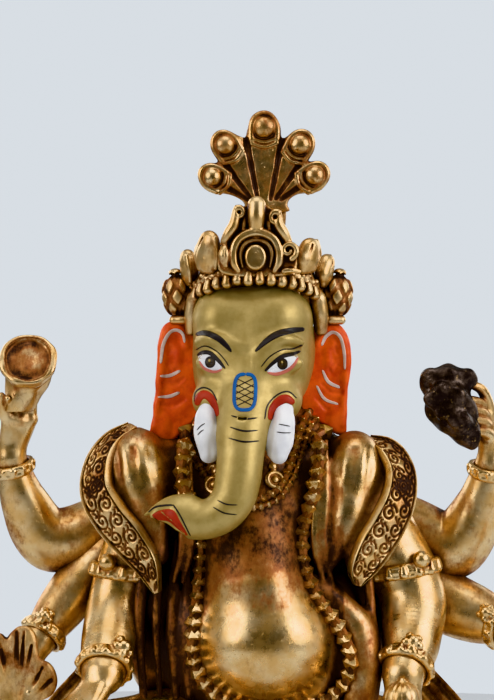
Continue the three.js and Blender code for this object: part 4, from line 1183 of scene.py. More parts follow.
SHAWL_CREASES = [
    # x, y and lean
    (-38.4, -13.6, 5.0), (-33.8, -15.2, 4.6), (-28.6, -15.4, 3.0),
    (22.6, -15.0, -0.6), (27.6, -16.0, -2.6), (32.4, -14.6, -4.0),
]


def hang_robe(clay):
    """The robe's soft hanging folds either side of the belly, and its hems beside the chest."""
    for x, deep in ((-31, 1.4), (-26.4, 1.1), (-22, 1.5), (-18.4, 1.0), (31, 1.4)):
        fold = [(x * 0.98, -12.0, 108), (x, -14.4, 97), (x * 1.02, -15.8, 84), (x * 0.98, -16.4, 66)]
        clay.limb([(fx, fy + 0.22 * (abs(fx) - 20), fz) for fx, fy, fz in fold],
                  [0.5, deep, deep, deep * 0.8], soft=2.2)
    clay.limb([(20.5, -16, 93), (27.5, -15.5, 85), (29.0, -16.5, 76), (28.4, -17, 66)],
              [3.4, 4.6, 5.4, 5.2], soft=3)
    for side, x0 in ((RIGHT, -20.6), (LEFT, 17.0)):
        for n in range(2):
            x = x0 + 2.4 * n
            hem = [(x, -11.5, 135), (x - side * 0.3, -15.2, 122), (x - side * 0.9, -16.2, 108),
                   (x + side * 1.5, -16.6, 97)]
            clay.limb(hem, [0.8, 1.2, 1.2, 0.6], soft=1.4)


def lay_shawl(clay):
    """The shawl's ends: broad creased domes that narrow to a point beside the trunk."""
    for dome in DOMES:
        clay.ball(*dome, soft=1.6)
    for x, y, lean in SHAWL_CREASES:
        crease = [
            (x + share * lean, y + back, z)
            for share, back, z in ((0.1, 1.4, 133), (0.3, -0.6, 128), (0.8, -1.0, 119), (1.6, -0.4, 110))
        ]
        clay.limb(crease, [0.1, 0.5, 0.7, 0.4], soft=2.2, carve=True)
    clay.limb([(-31, -8, 124), (-28.5, -12.5, 113), (-25.5, -14.8, 104)], [8.4, 5.4, 2.0], soft=2.2)
    clay.limb([(26.4, -8, 125), (24.8, -13, 114), (21.4, -16.4, 102.4)], [8.2, 5.4, 1.2], soft=2.0)


def pleat_back(clay):
    """The long robe down the back, with a spine fold and slanting pleats."""
    clay.limb([(0.5, 16, 140), (1, 21.6, 118), (1.5, 22, 96), (1.5, 21, 74)], [2.2, 2.6, 2.8, 2.2], soft=3)
    for side in (RIGHT, LEFT):
        for n in range(5):
            pleat = [(side * (5 + 3.5 * n), 19 - 0.9 * n, 128 - 3 * n),
                     (side * (8.5 + 4 * n), 19.5 - 1.4 * n, 108 - 2 * n),
                     (side * (8 + 4.6 * n), 20 - 1.8 * n, 84)]
            clay.limb(pleat, [0.7, 1.1, 0.8], soft=1.0, carve=n % 2 == 0)


def make_torso():
    """Bare belly and chest standing proud of a long robe, with the shawl's ends over the shoulders."""
    clay = Clay((-48, -40, 48), (48, 27, 153), 0.59)
    clay.ball((2.5, -3.5, 80), (30, 21.5, 27), soft=0)
    clay.ball((1.5, 5, 98), (28, 17, 28), soft=6)
    clay.ball((0.5, -0.5, 115), (26.5, 16, 19), soft=6)
    for side in (RIGHT, LEFT):
        clay.ball((1 + side * 27, 4, 84), (11, 12, 22), soft=4)
        clay.ball((1 + side * 25.5, -1, 122), (12.4, 12, 14), soft=5)
    clay.limb([(HEAD_AXIS[0], HEAD_AXIS[1], 126), (HEAD_AXIS[0], HEAD_AXIS[1], 150)], [11.5, 9], soft=5)
    clay.ball((0.5, 3, 137.5), (20.5, 14, 9.5), soft=6)
    # The shawl passes under each engraved band.
    for line, half in BANDS.values():
        pivot = band_pivot(np.sign(line[0][0]))
        under = [spot + unit(pivot - spot) * (0.85 * wide + 0.9) for spot, wide in zip(line[:-1], half)]
        clay.limb(under, [0.85 * wide for wide in half[:-1]], soft=3)
    hang_robe(clay)
    clay.ball(*BELLY, soft=1.2)
    clay.ball(*CHEST, soft=3)
    clay.limb([(-1.0, -13, 112), (0.6, -15.4, 97)], [9.4, 13.0], soft=5)
    lay_shawl(clay)
    pleat_back(clay)
    clay.waver(0.12, 14, seed=1)
    return clay.cast("torso", GILT, stain_and_shade=robe_wax_and_painted_shade)


# Each arm: shoulder to wrist, radii, then the palm's centre and the ways the palm and fingers point.
ARMS = {
    "arm_front_right": ([(-27, -3, 122), (-33, -4, 107), (-38, -5, 92), (-40, -13, 80),
                         (-41, -20.5, 72.5)], [10, 8.6, 7.8, 7.4, 5.8]),
    "arm_front_left": ([(28, -3, 122), (36.5, -4, 107), (43, -5, 93), (42.5, -13, 80.5),
                        (40, -20.5, 72.5)], [10, 9.4, 9.4, 8.0, 5.8]),
    "arm_upper_right": ([(-25, 7, 117), (-41, 9, 111.5), (-56.5, 7, 106.8), (-64, 3, 117),
                         (-67.6, -1, 130)], [9, 8.2, 9, 6.6, 4.0]),
    "arm_upper_left": ([(26, 7, 117), (42, 9, 111), (55, 7, 105), (62.5, 3, 116), (65.2, -1, 128.5)],
                       [9, 8.4, 9.4, 7, 4.0]),
    "arm_middle_right": ([(-24, 8, 112), (-37, 8, 106), (-47, 6, 97), (-54, 2, 88), (-59.5, -3, 80)],
                         [8.5, 8, 7.4, 6.6, 4.8]),
    "arm_middle_left": ([(25, 8, 108), (38, 8, 101.5), (50, 7, 91.5), (61, 3, 86.5), (69, -2, 83.5)],
                        [8.5, 8.6, 8.9, 8, 5]),
}
# The wrist runs into a palm, then four fingers and a thumb, each given by its own knuckles.
HANDS = {
    "arm_front_right": {
        "palm": [(-42.6, -23.5, 69.6), (-46.6, -28, 65.0)], "size": [4.4, 4.3], "wide": (-0.8, 0.5, -0.1),
        "fingers": [[(-2.6, -3.5, -2), (-4.6, -7.5, -5.4), (-5, -8.6, -9.6)]] * 4,
        "thumb": [(3.4, -2.5, -1), (4.4, -6.0, -3), (3.6, -8.2, -5.8)],
    },
    "arm_front_left": {
        "palm": [(39.6, -23.5, 67.0), (39.0, -28.4, 60.2)], "size": [4.6, 4.4], "wide": (1.0, 0, 0),
        "fingers": [[(0, -4.2, -1.4), (0, -8.8, 0.4), (0, -9.6, 4.0)]] * 4,
        "thumb": [(-4.4, -2, 1), (-6.0, -4.4, 3.0), (-5.4, -5.4, 5.6)],
    },
    "arm_upper_right": {
        "palm": [(-67, -2, 134), (-65.0, -3.2, 140.5)], "size": [3.5, 3.4], "wide": (0.95, 0.3, 0.1),
        "fingers": [[(0, -0.5, 3), (0.4, -2.4, 6.0), (0.4, -5.0, 7.6)]] * 4,
        "thumb": [(-3.6, -1.4, 1.4), (-5.2, -3.4, 4.6), (-4.6, -5, 7.0)],
    },
    "arm_upper_left": {
        "palm": [(64.8, -2.4, 133), (63.9, -3.4, 139.5)], "size": [3.5, 4.3], "wide": (-0.2, -0.1, 1.0),
        "fingers": [[(-1, -3.6, 2), (-5.6, -8.0, 3.0), (-9.4, -9.6, 2.0)]] * 4,
        "thumb": [(0.5, -0.5, 5), (-1.5, -3.5, 9.4), (-4.6, -5.6, 11)],
    },
    "arm_middle_right": {
        "palm": [(-61, -5.4, 77), (-63, -9, 72.5)], "size": [3.9, 4.0], "wide": (0.3, -0.1, -0.95),
        "fingers": [[(-1.8, -2.0, -2.6), (-1.4, -5.4, -6.0), (2.0, -7.6, -7.0)]] * 4,
        "thumb": [(2.4, -1.6, -1.0), (3.4, -5.4, -3.4), (1.6, -7.6, -5.4)],
    },
    "arm_middle_left": {
        "palm": [(71, -3.6, 82.6), (74, -6.8, 81.8)], "size": [4.0, 4.2], "wide": (0.1, 0, 1.0),
        "fingers": [[(0.8, -3.0, 0), (-0.4, -7.6, 0), (-4.4, -8.0, 0)]] * 4,
        "thumb": [(-2.2, -1.6, 3.6), (-4.2, -4.6, 5.2), (-4.4, -7.4, 5.0)],
    },
}


def arm_stain(points):
    """Wax is left on the sides that face the back."""
    return 0.09 + 0.28 * np.clip((points[:, 1] + 3) / 9, 0, 1)


def make_arm(name):
    """One smooth arm that runs into a palm with four fingers and a thumb."""
    line, radii = ARMS[name]
    hand = HANDS[name]
    reach = np.array([*line, *hand["palm"]])
    clay = Clay(reach.min(0) - 15, reach.max(0) + 15, 0.42)
    clay.limb(line, radii, soft=0, count=44)
    (wrist, palm), (near, far) = hand["palm"], hand["size"]
    wide = unit(hand["wide"])
    for share in (-0.5, -0.17, 0.17, 0.5):
        clay.limb([line[-1], np.add(wrist, wide * share * near), np.add(palm, wide * share * 2 * far)],
                  [radii[-1] * 0.72, near * 0.62, far * 0.5],
                  soft=1.6, count=12)
    for n, knuckles in enumerate(hand["fingers"]):
        share = (n - 1.5) / 1.5
        shorter = 1.0 - 0.1 * abs(n - 1.3)
        root = np.add(palm, wide * share * far * 0.98)
        joints = [root + np.array(k) * shorter for k in knuckles]
        clay.limb([root, *joints], [1.75, 1.6, 1.35, 0.95], soft=0.5, count=14)
    clay.limb([palm, *(np.add(palm, k) for k in hand["thumb"])], [2.2, 1.9, 1.55, 1.05], soft=0.6, count=14)
    clay.waver(0.16, 13, seed=len(name) + ord(name[4]))
    return clay.cast(name, GILT if "front" in name else GILT_WORN, stain_and_shade=arm_stain)


# ---------------------------------------------------------------- beads

BEAD_SIDES = 8
BEAD_RINGS = [(0.98, -0.55), (1.0, -0.1), (0.78, 0.3), (0.42, 0.72), (0.14, 0.98)]  # radius, height


def bead_mesh(size, sharp=0.45):
    """A cast bead: a four-sided stud with pinched sides and a blunt point, outward along local Z."""
    verts, faces = [], []
    for radius, height in BEAD_RINGS:
        for k, a in enumerate(angles(BEAD_SIDES)):
            pinch = 1.0 if k % 2 == 0 else 1 - sharp * (0.35 + 0.65 * max(height, 0))
            verts.append((radius * pinch * math.cos(a), radius * pinch * math.sin(a), height))
    last = (len(BEAD_RINGS) - 1) * BEAD_SIDES
    for row in range(0, last, BEAD_SIDES):
        for k in range(BEAD_SIDES):
            a, b = row + k, row + (k + 1) % BEAD_SIDES
            faces.append((a, b, b + BEAD_SIDES, a + BEAD_SIDES))
    for start, order in ((0, (3, 2, 1, 0)), (last, (0, 1, 2, 3))):
        for quad in ((0, 1, 2, 3), (0, 3, 4, 7), (7, 4, 5, 6)):
            faces.append(tuple(start + quad[k] for k in order))
    return np.array(verts) * size, np.array(faces)


def bead_wear(count):
    """Wax stays round the foot of every bead: one value for each ring of its vertices."""
    return np.tile(np.repeat([0.6, 0.25, -0.10, -0.25, -0.3], BEAD_SIDES), count)


def string_beads(line, outward, size, stretch=(1, 1, 1), seed=0):
    """Vertices and faces of beads at each point of a line. outward gives each bead's facing."""
    base, quads = bead_mesh(size)
    rng = np.random.default_rng(seed)
    verts, faces = [], []
    ahead = np.gradient(line, axis=0)
    for n, (spot, out) in enumerate(zip(line, outward)):
        z = unit(out)
        x = unit(ahead[n] - z * (ahead[n] @ z))
        y = np.cross(z, x)
        jitter = 1 + rng.uniform(-0.09, 0.09, 3)
        shape = base * np.array(stretch) * jitter
        swing = turn(z=rng.uniform(-12, 12), x=rng.uniform(-8, 8))
        faces.append(quads + n * len(base))
        verts.append((shape @ swing.T) @ np.stack([x, y, z]) + spot)
    return np.vstack(verts), np.vstack(faces)


def tube(line, radius, sides=8):
    """Vertices and quads of a tube round a closed loop."""
    ahead = unit(np.roll(line, -1, 0) - np.roll(line, 1, 0))
    normal = np.array([0.2, 0.1, 1.0])
    verts = []
    for spot, way in zip(line, ahead):
        normal = unit(normal - way * (normal @ way))
        side = np.cross(way, normal)
        for a in angles(sides):
            verts.append(spot + radius * (normal * math.cos(a) + side * math.sin(a)))
    faces = []
    for i in range(len(line)):
        row, ahead_row = i * sides, (i + 1) % len(line) * sides
        for j in range(sides):
            k = (j + 1) % sides
            faces.append((row + j, row + k, ahead_row + k, ahead_row + j))
    return np.array(verts), np.array(faces)


def together(*parts):
    """Several (vertices, faces) as one."""
    verts, faces, start = [], [], 0
    for v, f in parts:
        verts.append(v)
        faces.append(np.asarray(f) + start)
        start += len(v)
    return np.vstack(verts), np.vstack(faces)


def close_behind(skin, line, outward, way, count, lift):
    """Carries a string of beads on round the back of the neck to where it began."""
    for point in spline([tuple(line[-1]), *way, tuple(line[0])], count)[1:-1]:
        spot, normal = skin.near(point)
        line.append(spot + normal * lift)
        outward.append(normal)
    return np.array(line)


GARLAND_FRONT = [
    (17.6, 134), (17.2, 128), (15.6, 119), (12.6, 109), (13.4, 100.6), (17.6, 92), (23.4, 83.6),
    (26.2, 76), (23.6, 68.6), (16.6, 64.2), (7, 62.2), (-2.6, 63.2), (-10.4, 66.4), (-15.6, 73),
    (-17.0, 81.5), (-15.8, 91), (-14.9, 101), (-14.8, 108), (-17, 116), (-20, 125), (-19.4, 134),
]


def make_garland(torso):
    """The long string of pointed beads, round the belly in front and behind the neck."""
    skin = Surface(torso)
    path = even(spline(GARLAND_FRONT, 200), 52)
    depth = np.array([skin.front(x, z)[0][1] for x, z in path])
    depth = np.convolve(np.pad(depth, 2, mode="edge"), [0.1, 0.2, 0.4, 0.2, 0.1], mode="valid") - 0.9
    line = [np.array([x, y, z]) for (x, z), y in zip(path, depth)]
    middle = np.array([2.0, 26, 96])
    outward = [unit(p - middle) + (0, -0.5, 0) for p in line]
    line = close_behind(skin, line, outward, [(-15, 9, 139.6), (0.5, 13.8, 142), (15.5, 9, 139.6)], 18, 0.7)
    beads = string_beads(line, outward, 2.5, stretch=(0.98, 1.05, 1.0), seed=2)
    cord = tube(line, 1.6)
    verts, faces = together(beads, cord)
    wax_and_shade = np.concatenate([bead_wear(len(line)), np.full(len(cord[0]), 0.95)])
    settle(mesh_object("belly_garland", verts, faces, GILT_BRIGHT, smooth=False, wax_and_shade=wax_and_shade),
           ["belly_garland"])


COLLAR_FRONT = [
    (14.6, 142.6), (13.0, 140.6), (11.2, 134), (9.0, 127), (5.6, 121.6), (0.5, 119.4), (-5, 120.6),
    (-9.6, 124.6), (-12.8, 129), (-15.4, 135), (-16.6, 141.6),
]


def make_collar(torso):
    """The necklace: two close rows of small pyramid studs, falling in a deep curve from behind the ears."""
    skin = Surface(torso)
    parts, wax_and_shade = [], []
    for row, size in enumerate((1.75, 1.3)):
        path = even(spline([(x * (1 + 0.16 * row), z - 1.6 * row) for x, z in COLLAR_FRONT], 120),
                    25 + 6 * row)
        line, outward = [], []
        for x, z in path:
            spot, normal = skin.front(x, z)
            line.append(spot + (0, -0.5, 0))
            outward.append(normal + (0, -0.7, 0))
        line = close_behind(skin, line, outward, [(-16, 6, 143), (0.5, 14.5, 143), (16, 6, 143)], 20, 0.5)
        parts.append(string_beads(line, outward, size, seed=row))
        parts.append(tube(line, size * 0.6))
        wax_and_shade += [bead_wear(len(line)), np.full(len(parts[-1][0]), 0.9)]
    verts, faces = together(*parts)
    wax_and_shade = np.concatenate(wax_and_shade)
    settle(mesh_object("bead_collar", verts, faces, GILT_BRIGHT, smooth=False, wax_and_shade=wax_and_shade),
           ["bead_collar"])


def make_pendant(name, x, z, torso):
    """A round jewel in a raised rim, hung under a smaller bead."""
    spot, normal = Surface(torso).front(x, z)
    clay = Clay(spot - 7, spot + 9, 0.22)
    clay.at(spot, facing(normal))
    clay.disc((0, 0, 0), 2.6, 0.9, round_by=0.5)
    clay.limb(hoop((0, -0.6, 0), 2.1, 12, flat=False), 0.72, closed=True, count=32, soft=0.3)
    clay.ball((0, -0.9, 0), (1.1, 0.8, 1.1), soft=0.2)
    clay.ball((0, -0.6, 3.9), (1.2, 1.0, 1.3), soft=0.5)
    clay.ball((0, -0.5, -3.4), (0.9, 0.8, 1.1), soft=0.4)
    clay.cast(name, GILT_WORN)


# ---------------------------------------------------------------- shoulder bands

def scroll_lines(length, seed):
    """Engraved vines along a band: two rows of spirals set like bricks, with leaf strokes between them."""
    lines = []
    for row in (-1, 1):
        for n in range(int(length / 5.6)):
            x = 3.2 + 5.6 * n + (2.8 if row > 0 else 0)
            a = np.linspace(0.2, 9.6, 48)
            r = 0.15 + 0.235 * a
            across = row * 0.36 + 0.165 * r * np.sin(a * row + seed)
            lines.append(np.column_stack([x + r * np.cos(a * row + seed), across]))
            for k in range(3):
                t = np.linspace(0, 1, 12)
                lift = row * (0.64 - 0.22 * k) + 0.16 * np.sin(2.6 * t + k)
                lines.append(np.column_stack([x + 2.3 + 1.5 * t + 0.25 * k, lift]))
    a = np.linspace(0, 2 * math.pi, 60)
    for radius, petals in ((0.6, 0), (1.4, 0), (2.4, 0.16)):
        ripple = radius * (1 + petals * np.cos(6 * a))
        lines.append(np.column_stack([0.40 * length + ripple * np.cos(a),
                                      0.19 * ripple * np.sin(a) + 0.05]))
    return lines


def engraving(run, half, grid_v, seed):
    """How far each spot of a band lies from the nearest engraved line."""
    carve = np.full(grid_v.shape, 9.0)
    for mark in scroll_lines(run[-1], seed):
        mark_half = np.interp(mark[:, 0], run, half)
        flat = np.column_stack([mark[:, 0], np.clip(mark[:, 1], -0.74, 0.74) * mark_half])
        for a, b in zip(flat[:-1], flat[1:]):
            e = b - a
            near = np.abs(run - (a[0] + b[0]) / 2) < 1.5
            du, dv = run[near][:, None] - a[0], grid_v[near] - a[1]
            t = np.clip((du * e[0] + dv * e[1]) / max(float(e @ e), 1e-9), 0, 1)
            carve[near] = np.minimum(carve[near], np.hypot(du - t * e[0], dv - t * e[1]))
    return carve


def make_band(name):
    """A ribbon of metal with rims, engraved between them, lying over the shoulder."""
    points, widths = BANDS[name]
    side = math.copysign(1, points[0][0])
    rows, columns = 320, 84
    line = even(spline(np.column_stack([points, widths]), 200), rows)
    centre, half = line[:, :3], line[:, 3]
    run = np.concatenate([[0], np.cumsum(np.linalg.norm(np.diff(centre, axis=0), axis=1))])
    ahead = unit(np.gradient(centre, axis=0))
    out = centre - band_pivot(side)
    out = unit(out - ahead * np.sum(out * ahead, axis=1)[:, None])
    across = np.cross(ahead, out) * side
    v = np.linspace(-1, 1, columns)
    grid_v = v[None, :] * half[:, None]
    carve = engraving(run, half, grid_v, 0.4 if side > 0 else 1.7)
    # What stands up and what is cut, from one edge (v = -1) to the other (v = 1).
    inside = np.abs(v)[None, :] < 0.80
    groove = np.where(inside, 0.45 * np.clip(1.2 - carve / 0.42, 0, 1), 0)
    rim = 0.8 * np.exp(-((np.abs(v) - 0.9) / 0.06) ** 2)[None, :]
    ditch = 0.35 * np.exp(-((np.abs(v) - 0.79) / 0.05) ** 2)[None, :]
    crown = 0.9 * (1 - v ** 2)[None, :] * (half / 5)[:, None]
    edge = np.sqrt(np.clip(1 - np.abs(v) ** 14, 0, 1))[None, :]
    fade = np.clip(np.minimum(run, run[-1] - run) / 2.0, 0.1, 1)[:, None]
    height = (1.0 + crown + rim * np.minimum(1, half / 3)[:, None] - ditch) * edge - groove * fade
    # Wax stays in what is cut, and on the upper half next to the shoulder.
    high = np.clip((centre[:, 2] - 112) / 12, 0, 1)[:, None]
    field = 0.16 * (np.abs(v) < 0.8)[None, :]
    inner = 0.32 * high * np.clip(v * -side + 0.7, 0, 1)[None, :]
    wax_and_shade = 1.25 * groove + 1.6 * ditch + field + inner - 0.4 * rim
    wax_and_shade = np.concatenate([wax_and_shade.ravel(), np.full(wax_and_shade.size, 0.5)])
    top = centre[:, None] + across[:, None] * grid_v[..., None] + out[:, None] * height[..., None]
    under = centre[:, None] + across[:, None] * grid_v[..., None] * 0.96 - out[:, None] * 1.4
    verts = np.vstack([top.reshape(-1, 3), under.reshape(-1, 3)])
    faces = slab_faces(rows, columns)
    if side == RIGHT:
        faces = [face[::-1] for face in faces]
    settle(mesh_object(name, verts, faces, GILT_ENGRAVED, wax_and_shade=wax_and_shade), [name])


# ---------------------------------------------------------------- arm rings

RINGS = {
    # name: arm, share along it, bead size, bead count, the jewel's way (or none), its size
    "armlet_right": ("arm_front_right", 0.375, 1.75, 15, (-0.55, -1, 0), 2.3),
    "armlet_left": ("arm_front_left", 0.385, 1.75, 15, (0.55, -1, 0), 2.3),
    "bracelet_front_right": ("arm_front_right", 0.93, 1.5, 13, (0.8, -0.8, 0.5), 2.5),
    "bracelet_front_left": ("arm_front_left", 0.93, 1.5, 13, (0.1, -1, 0.6), 2.3),
    "bracelet_upper_right": ("arm_upper_right", 0.95, 1.25, 12, None, 0),
    "bracelet_upper_left": ("arm_upper_left", 0.96, 1.25, 12, None, 0),
    "bracelet_middle_right": ("arm_middle_right", 0.95, 1.35, 12, (-0.2, -1, 0.4), 2.0),
    "bracelet_middle_left": ("arm_middle_left", 0.96, 1.35, 12, (0, -1, 0.3), 2.0),
}


def make_ring(name):
    """A hoop round an arm, set with round jewels, with a flower boss where one shows."""
    arm, share, size, count, boss_way, boss = RINGS[name]
    line, radii = ARMS[arm]
    rows = spline(np.column_stack([line, radii]), 101)
    n = int(round(share * 100))
    centre, radius = rows[n, :3], rows[n, 3]
    along = rows[min(n + 2, 100), :3] - rows[n - 2, :3]
    plain = name.startswith("armlet")
    if plain:
        along *= (0.3, 0, 1)
    along = unit(along)
    front = unit(np.array([0, -1.0, 0]) + along * along[1])
    side = np.cross(along, front)
    clay = Clay(centre - radius - 6.5, centre + radius + 6.5, 0.3)

    def ring(a, r, shift=0.0):
        return centre + (front * math.cos(a) + side * math.sin(a)) * r + along * shift

    for shift in (-0.75 * size, 0.75 * size):
        hem = [ring(a, radius + 0.5, shift) for a in angles(12)]
        clay.limb(hem, 0.8, closed=True, count=48, soft=0.2)
    clay.limb([ring(a, radius + 0.1) for a in angles(12)], size * 0.75, closed=True, count=48, soft=0.3)
    for k in range(count):
        a = 2 * math.pi * k / count
        stone = size * (0.9 + 0.05 * math.sin(5 * k))
        clay.limb([ring(a, radius + 0.7, -0.55 * size), ring(a, radius + 0.7, 0.4 * size)],
                  [stone * 0.7, stone * 0.95], soft=0.1, count=3)
    if boss_way is not None:
        way = unit(np.array(boss_way) - along * (np.array(boss_way) @ along))
        spot = centre + way * (radius + 1.2) - along * size * 1.5
        across = np.cross(along, way)
        clay.ball(spot + way * 0.4, boss * (1.05 if plain else 0.8), soft=0.3)
        for a in angles(0 if plain else 5):
            petal = spot + (along * math.cos(a) + across * math.sin(a)) * boss * 0.85
            clay.ball(petal, boss * 0.55, soft=0.25)
    clay.cast(name, GILT)


# ---------------------------------------------------------------- what the hands hold

def dish_stain(points):
    """Wax lies in the bowl's dish."""
    return 0.22 * (np.hypot(points[:, 0] + 62.3, points[:, 2] - 158.2) < 6.4)


def make_bowl():
    """The round cup, its rimmed mouth turned to the front."""
    clay = Clay((-73, -17, 143), (-52, 6, 168), 0.3)
    clay.at((-62.3, -0.5, 153), turn(x=-28))
    # Local -Y is the mouth's way here.
    clay.limb([(0, 0.2, 0), (0, -3, 0), (0, -7.4, 0)], [3.6, 5.2, 6.6], soft=0)
    clay.disc((0, -8.4, 0), 7.9, 1.5, round_by=0.7, soft=0.8)
    clay.disc((0, -12.6, 0), 6.5, 3.6, round_by=0.8, soft=0.4, carve=True)
    for deep, radius in ((-5.6, 6.7), (-3.9, 5.9)):
        clay.limb(hoop((0, deep, 0), radius, 16, flat=False), 0.55, closed=True, count=48, soft=0.3)
    clay.at()
    clay.limb([(-62.6, -3.6, 153), (-64.2, -4.4, 147.4), (-65.6, -4.8, 143.6)], [6.2, 4.8, 3.4], soft=1.5)
    clay.waver(0.3, 6, seed=8)
    clay.cast("offering_bowl", GILT_WORN, stain_and_shade=dish_stain)


def make_conch():
    """The blackened lumpy shell: a spire of whorls over a swelling body and a split lip."""
    clay = Clay((42, -20, 130), (65, 1, 159), 0.3)
    clay.limb([(59.6, -8, 134.4), (57.4, -9, 138.4), (53.6, -9.6, 144.5), (53, -9.4, 150)],
              [1.8, 4.4, 6.6, 5.4], soft=0)
    clay.ball((49.4, -10, 150.4), (3.9, 4.2, 4.6), soft=1.6)
    clay.ball((56.8, -9.4, 152), (3.8, 3.6, 3.2), soft=1.2)
    clay.ball((52.6, -9.4, 153.2), (7.0, 4.4, 2.2), soft=1.6)
    clay.limb([(46.8, -13.2, 150), (48.6, -15.2, 144.5), (53.6, -14.6, 138.6)], [0.6, 0.9, 0.5],
              soft=0.8, carve=True)
    for x, z in ((51, 149), (54.4, 147), (50.6, 143.8), (55.6, 141.2), (48, 146.6)):
        clay.ball((x, -14.8 + 0.15 * abs(x - 52), z), (2.2, 1.5, 2.4), soft=1.6)
    clay.waver(0.45, 5.5, seed=12)
    clay.cast("conch_shell", DARK, "dark_metal")


LEAF_OUTLINE = [
    (-62.6, 62.0), (-58.4, 64.4), (-55.2, 66.4), (-53.8, 70.4), (-55.6, 74.6), (-58.9, 76.6),
    (-59.6, 80.4), (-61.0, 84.4), (-64.0, 85.2), (-66.2, 83.4), (-67.4, 81.6), (-69.0, 83.0),
    (-72.6, 82.4), (-74.8, 78.6), (-75.0, 74.6), (-77.8, 71.6), (-78.0, 67.6), (-74.6, 64.6), (-68.6, 62.4),
]


LEAF_TIPS = [
    (-55.4, 70.4), (-57.6, 74.0), (-60.6, 80.0), (-62.6, 83.6), (-64.6, 83.6), (-69.4, 81.0), (-72.6, 79.4),
    (-75.6, 70.4), (-73.6, 67.4),
]


def make_radish():
    """A radish held by its neck: a broad three-lobed leaf with fine ribs above, and the root below."""
    clay = Clay((-82, -23, 42), (-50, -6, 89), 0.26)
    clay.at((0, -16.2, 0))
    clay.slab(closed_spline(LEAF_OUTLINE, 110), 0, 1.0, round_by=0.7)
    for x, z, r in ((-57.4, 70.6, 3.4), (-63.2, 78.6, 4.4), (-71.4, 75.6, 4.6), (-74.6, 69, 3.0)):
        clay.ball((x, 0.2, z), (r, 1.7, r * 1.2), soft=1.6)
    foot = np.array([-64.6, -1.6, 62.4])
    for x, z in LEAF_TIPS:
        tip = np.array([x, -1.3, z])
        bend = (foot + tip) / 2 + (0.10 * (x + 64.6), -0.15, 0.6)
        clay.limb([foot, bend, tip], [0.7, 0.55, 0.4], soft=0.3, carve=True, count=18)
    clay.at()
    clay.limb([(-64, -13.4, 67), (-62.4, -13.4, 62), (-61, -13.2, 54), (-60.2, -12.6, 47),
               (-59.6, -12, 43.6)], [3.0, 3.8, 3.5, 2.0, 0.6], soft=1)
    for z in (63.5, 60, 56, 52.4):
        clay.limb([(-66.5, -15.6, z), (-62, -17.4, z - 0.6), (-57.6, -15.6, z)], 0.3, soft=0.5,
                  carve=True, count=10)
    clay.waver(0.25, 6, seed=6)
    clay.cast("radish", GILT_LEAF)


def make_goad():
    """The elephant goad: a banded shaft with a hook and a spear point."""
    x, y = 72.3, -11.6
    clay = Clay((66, -17, 53), (83, -6, 114), 0.28)
    clay.limb([(x, y, 58), (x, y, 103)], 1.35, soft=0, count=4)
    for z in (60.5, 64, 90.5, 94, 98):
        clay.limb(hoop((x, y, z), 1.3, 8), 0.75, closed=True, count=18, soft=0.3)
    clay.ball((x, y, 57.6), (2.3, 2.3, 2.2), soft=0.5)
    clay.limb([(x, y, 97.5), (x + 2.6, y, 101.6), (x + 5.4, y, 100.6), (x + 6.4, y, 96.6),
               (x + 5.2, y, 93.4)], [1.4, 1.7, 1.5, 1.1, 0.35], soft=0.5, count=28)
    clay.ball((x, y, 101.4), (2.3, 2.0, 1.8), soft=0.4)
    clay.limb([(x, y, 102.5), (x, y, 105.4), (x, y, 110.6)], [1.2, 1.9, 0.35], soft=0.3, count=16)
    clay.cast("elephant_goad", GILT)


def make_sweet():
    """The round sweet: gathered to a point, in pleats."""
    clay = Clay((32, -38, 60), (47, -23, 76), 0.3)
    clay.ball((39.0, -30.6, 67.2), (5.1, 5.1, 4.8), soft=0)
    clay.limb([(39.0, -30.6, 70), (39.0, -30.6, 72.2)], [1.6, 0.7], soft=1.2, count=4)
    for a in angles(12):
        way = np.array([math.cos(a), math.sin(a), 0])
        pleat = [np.array([39.0, -30.6, z]) + way * r for z, r in ((67.0, 5.2), (69.8, 4.4), (71.8, 1.6))]
        clay.limb(pleat, 0.2, soft=0.4, carve=True, count=10)
    clay.cast("sweet_ball", GILT_WORN)


# ---------------------------------------------------------------- legs, scarves and base

def foot(clay, heel, toe, lift):
    """A bare foot from heel to toes, sole down, with five toes."""
    heel, toe = np.array(heel, dtype=float), np.array(toe, dtype=float)
    ahead = unit(toe - heel)
    aside = np.cross(ahead, (0, 0, 1))
    clay.limb([heel, (heel + toe) / 2 + (0, 0, lift), toe], [4.2, 4.0, 3.0], soft=1.5, count=20)
    clay.limb([heel + aside, toe + aside * 2.4], [3.4, 2.4], soft=1.2, count=8)
    clay.limb([heel - aside, toe - aside * 2.4], [3.4, 2.4], soft=1.2, count=8)
    for n in range(5):
        root = toe + aside * (2.1 * (n - 2)) + ahead * (1.2 - 0.35 * abs(n - 1))
        clay.limb([root, root + ahead * (3.0 - 0.3 * n)], [1.4, 1.25 - 0.05 * n], soft=0.35, count=4)
    return clay


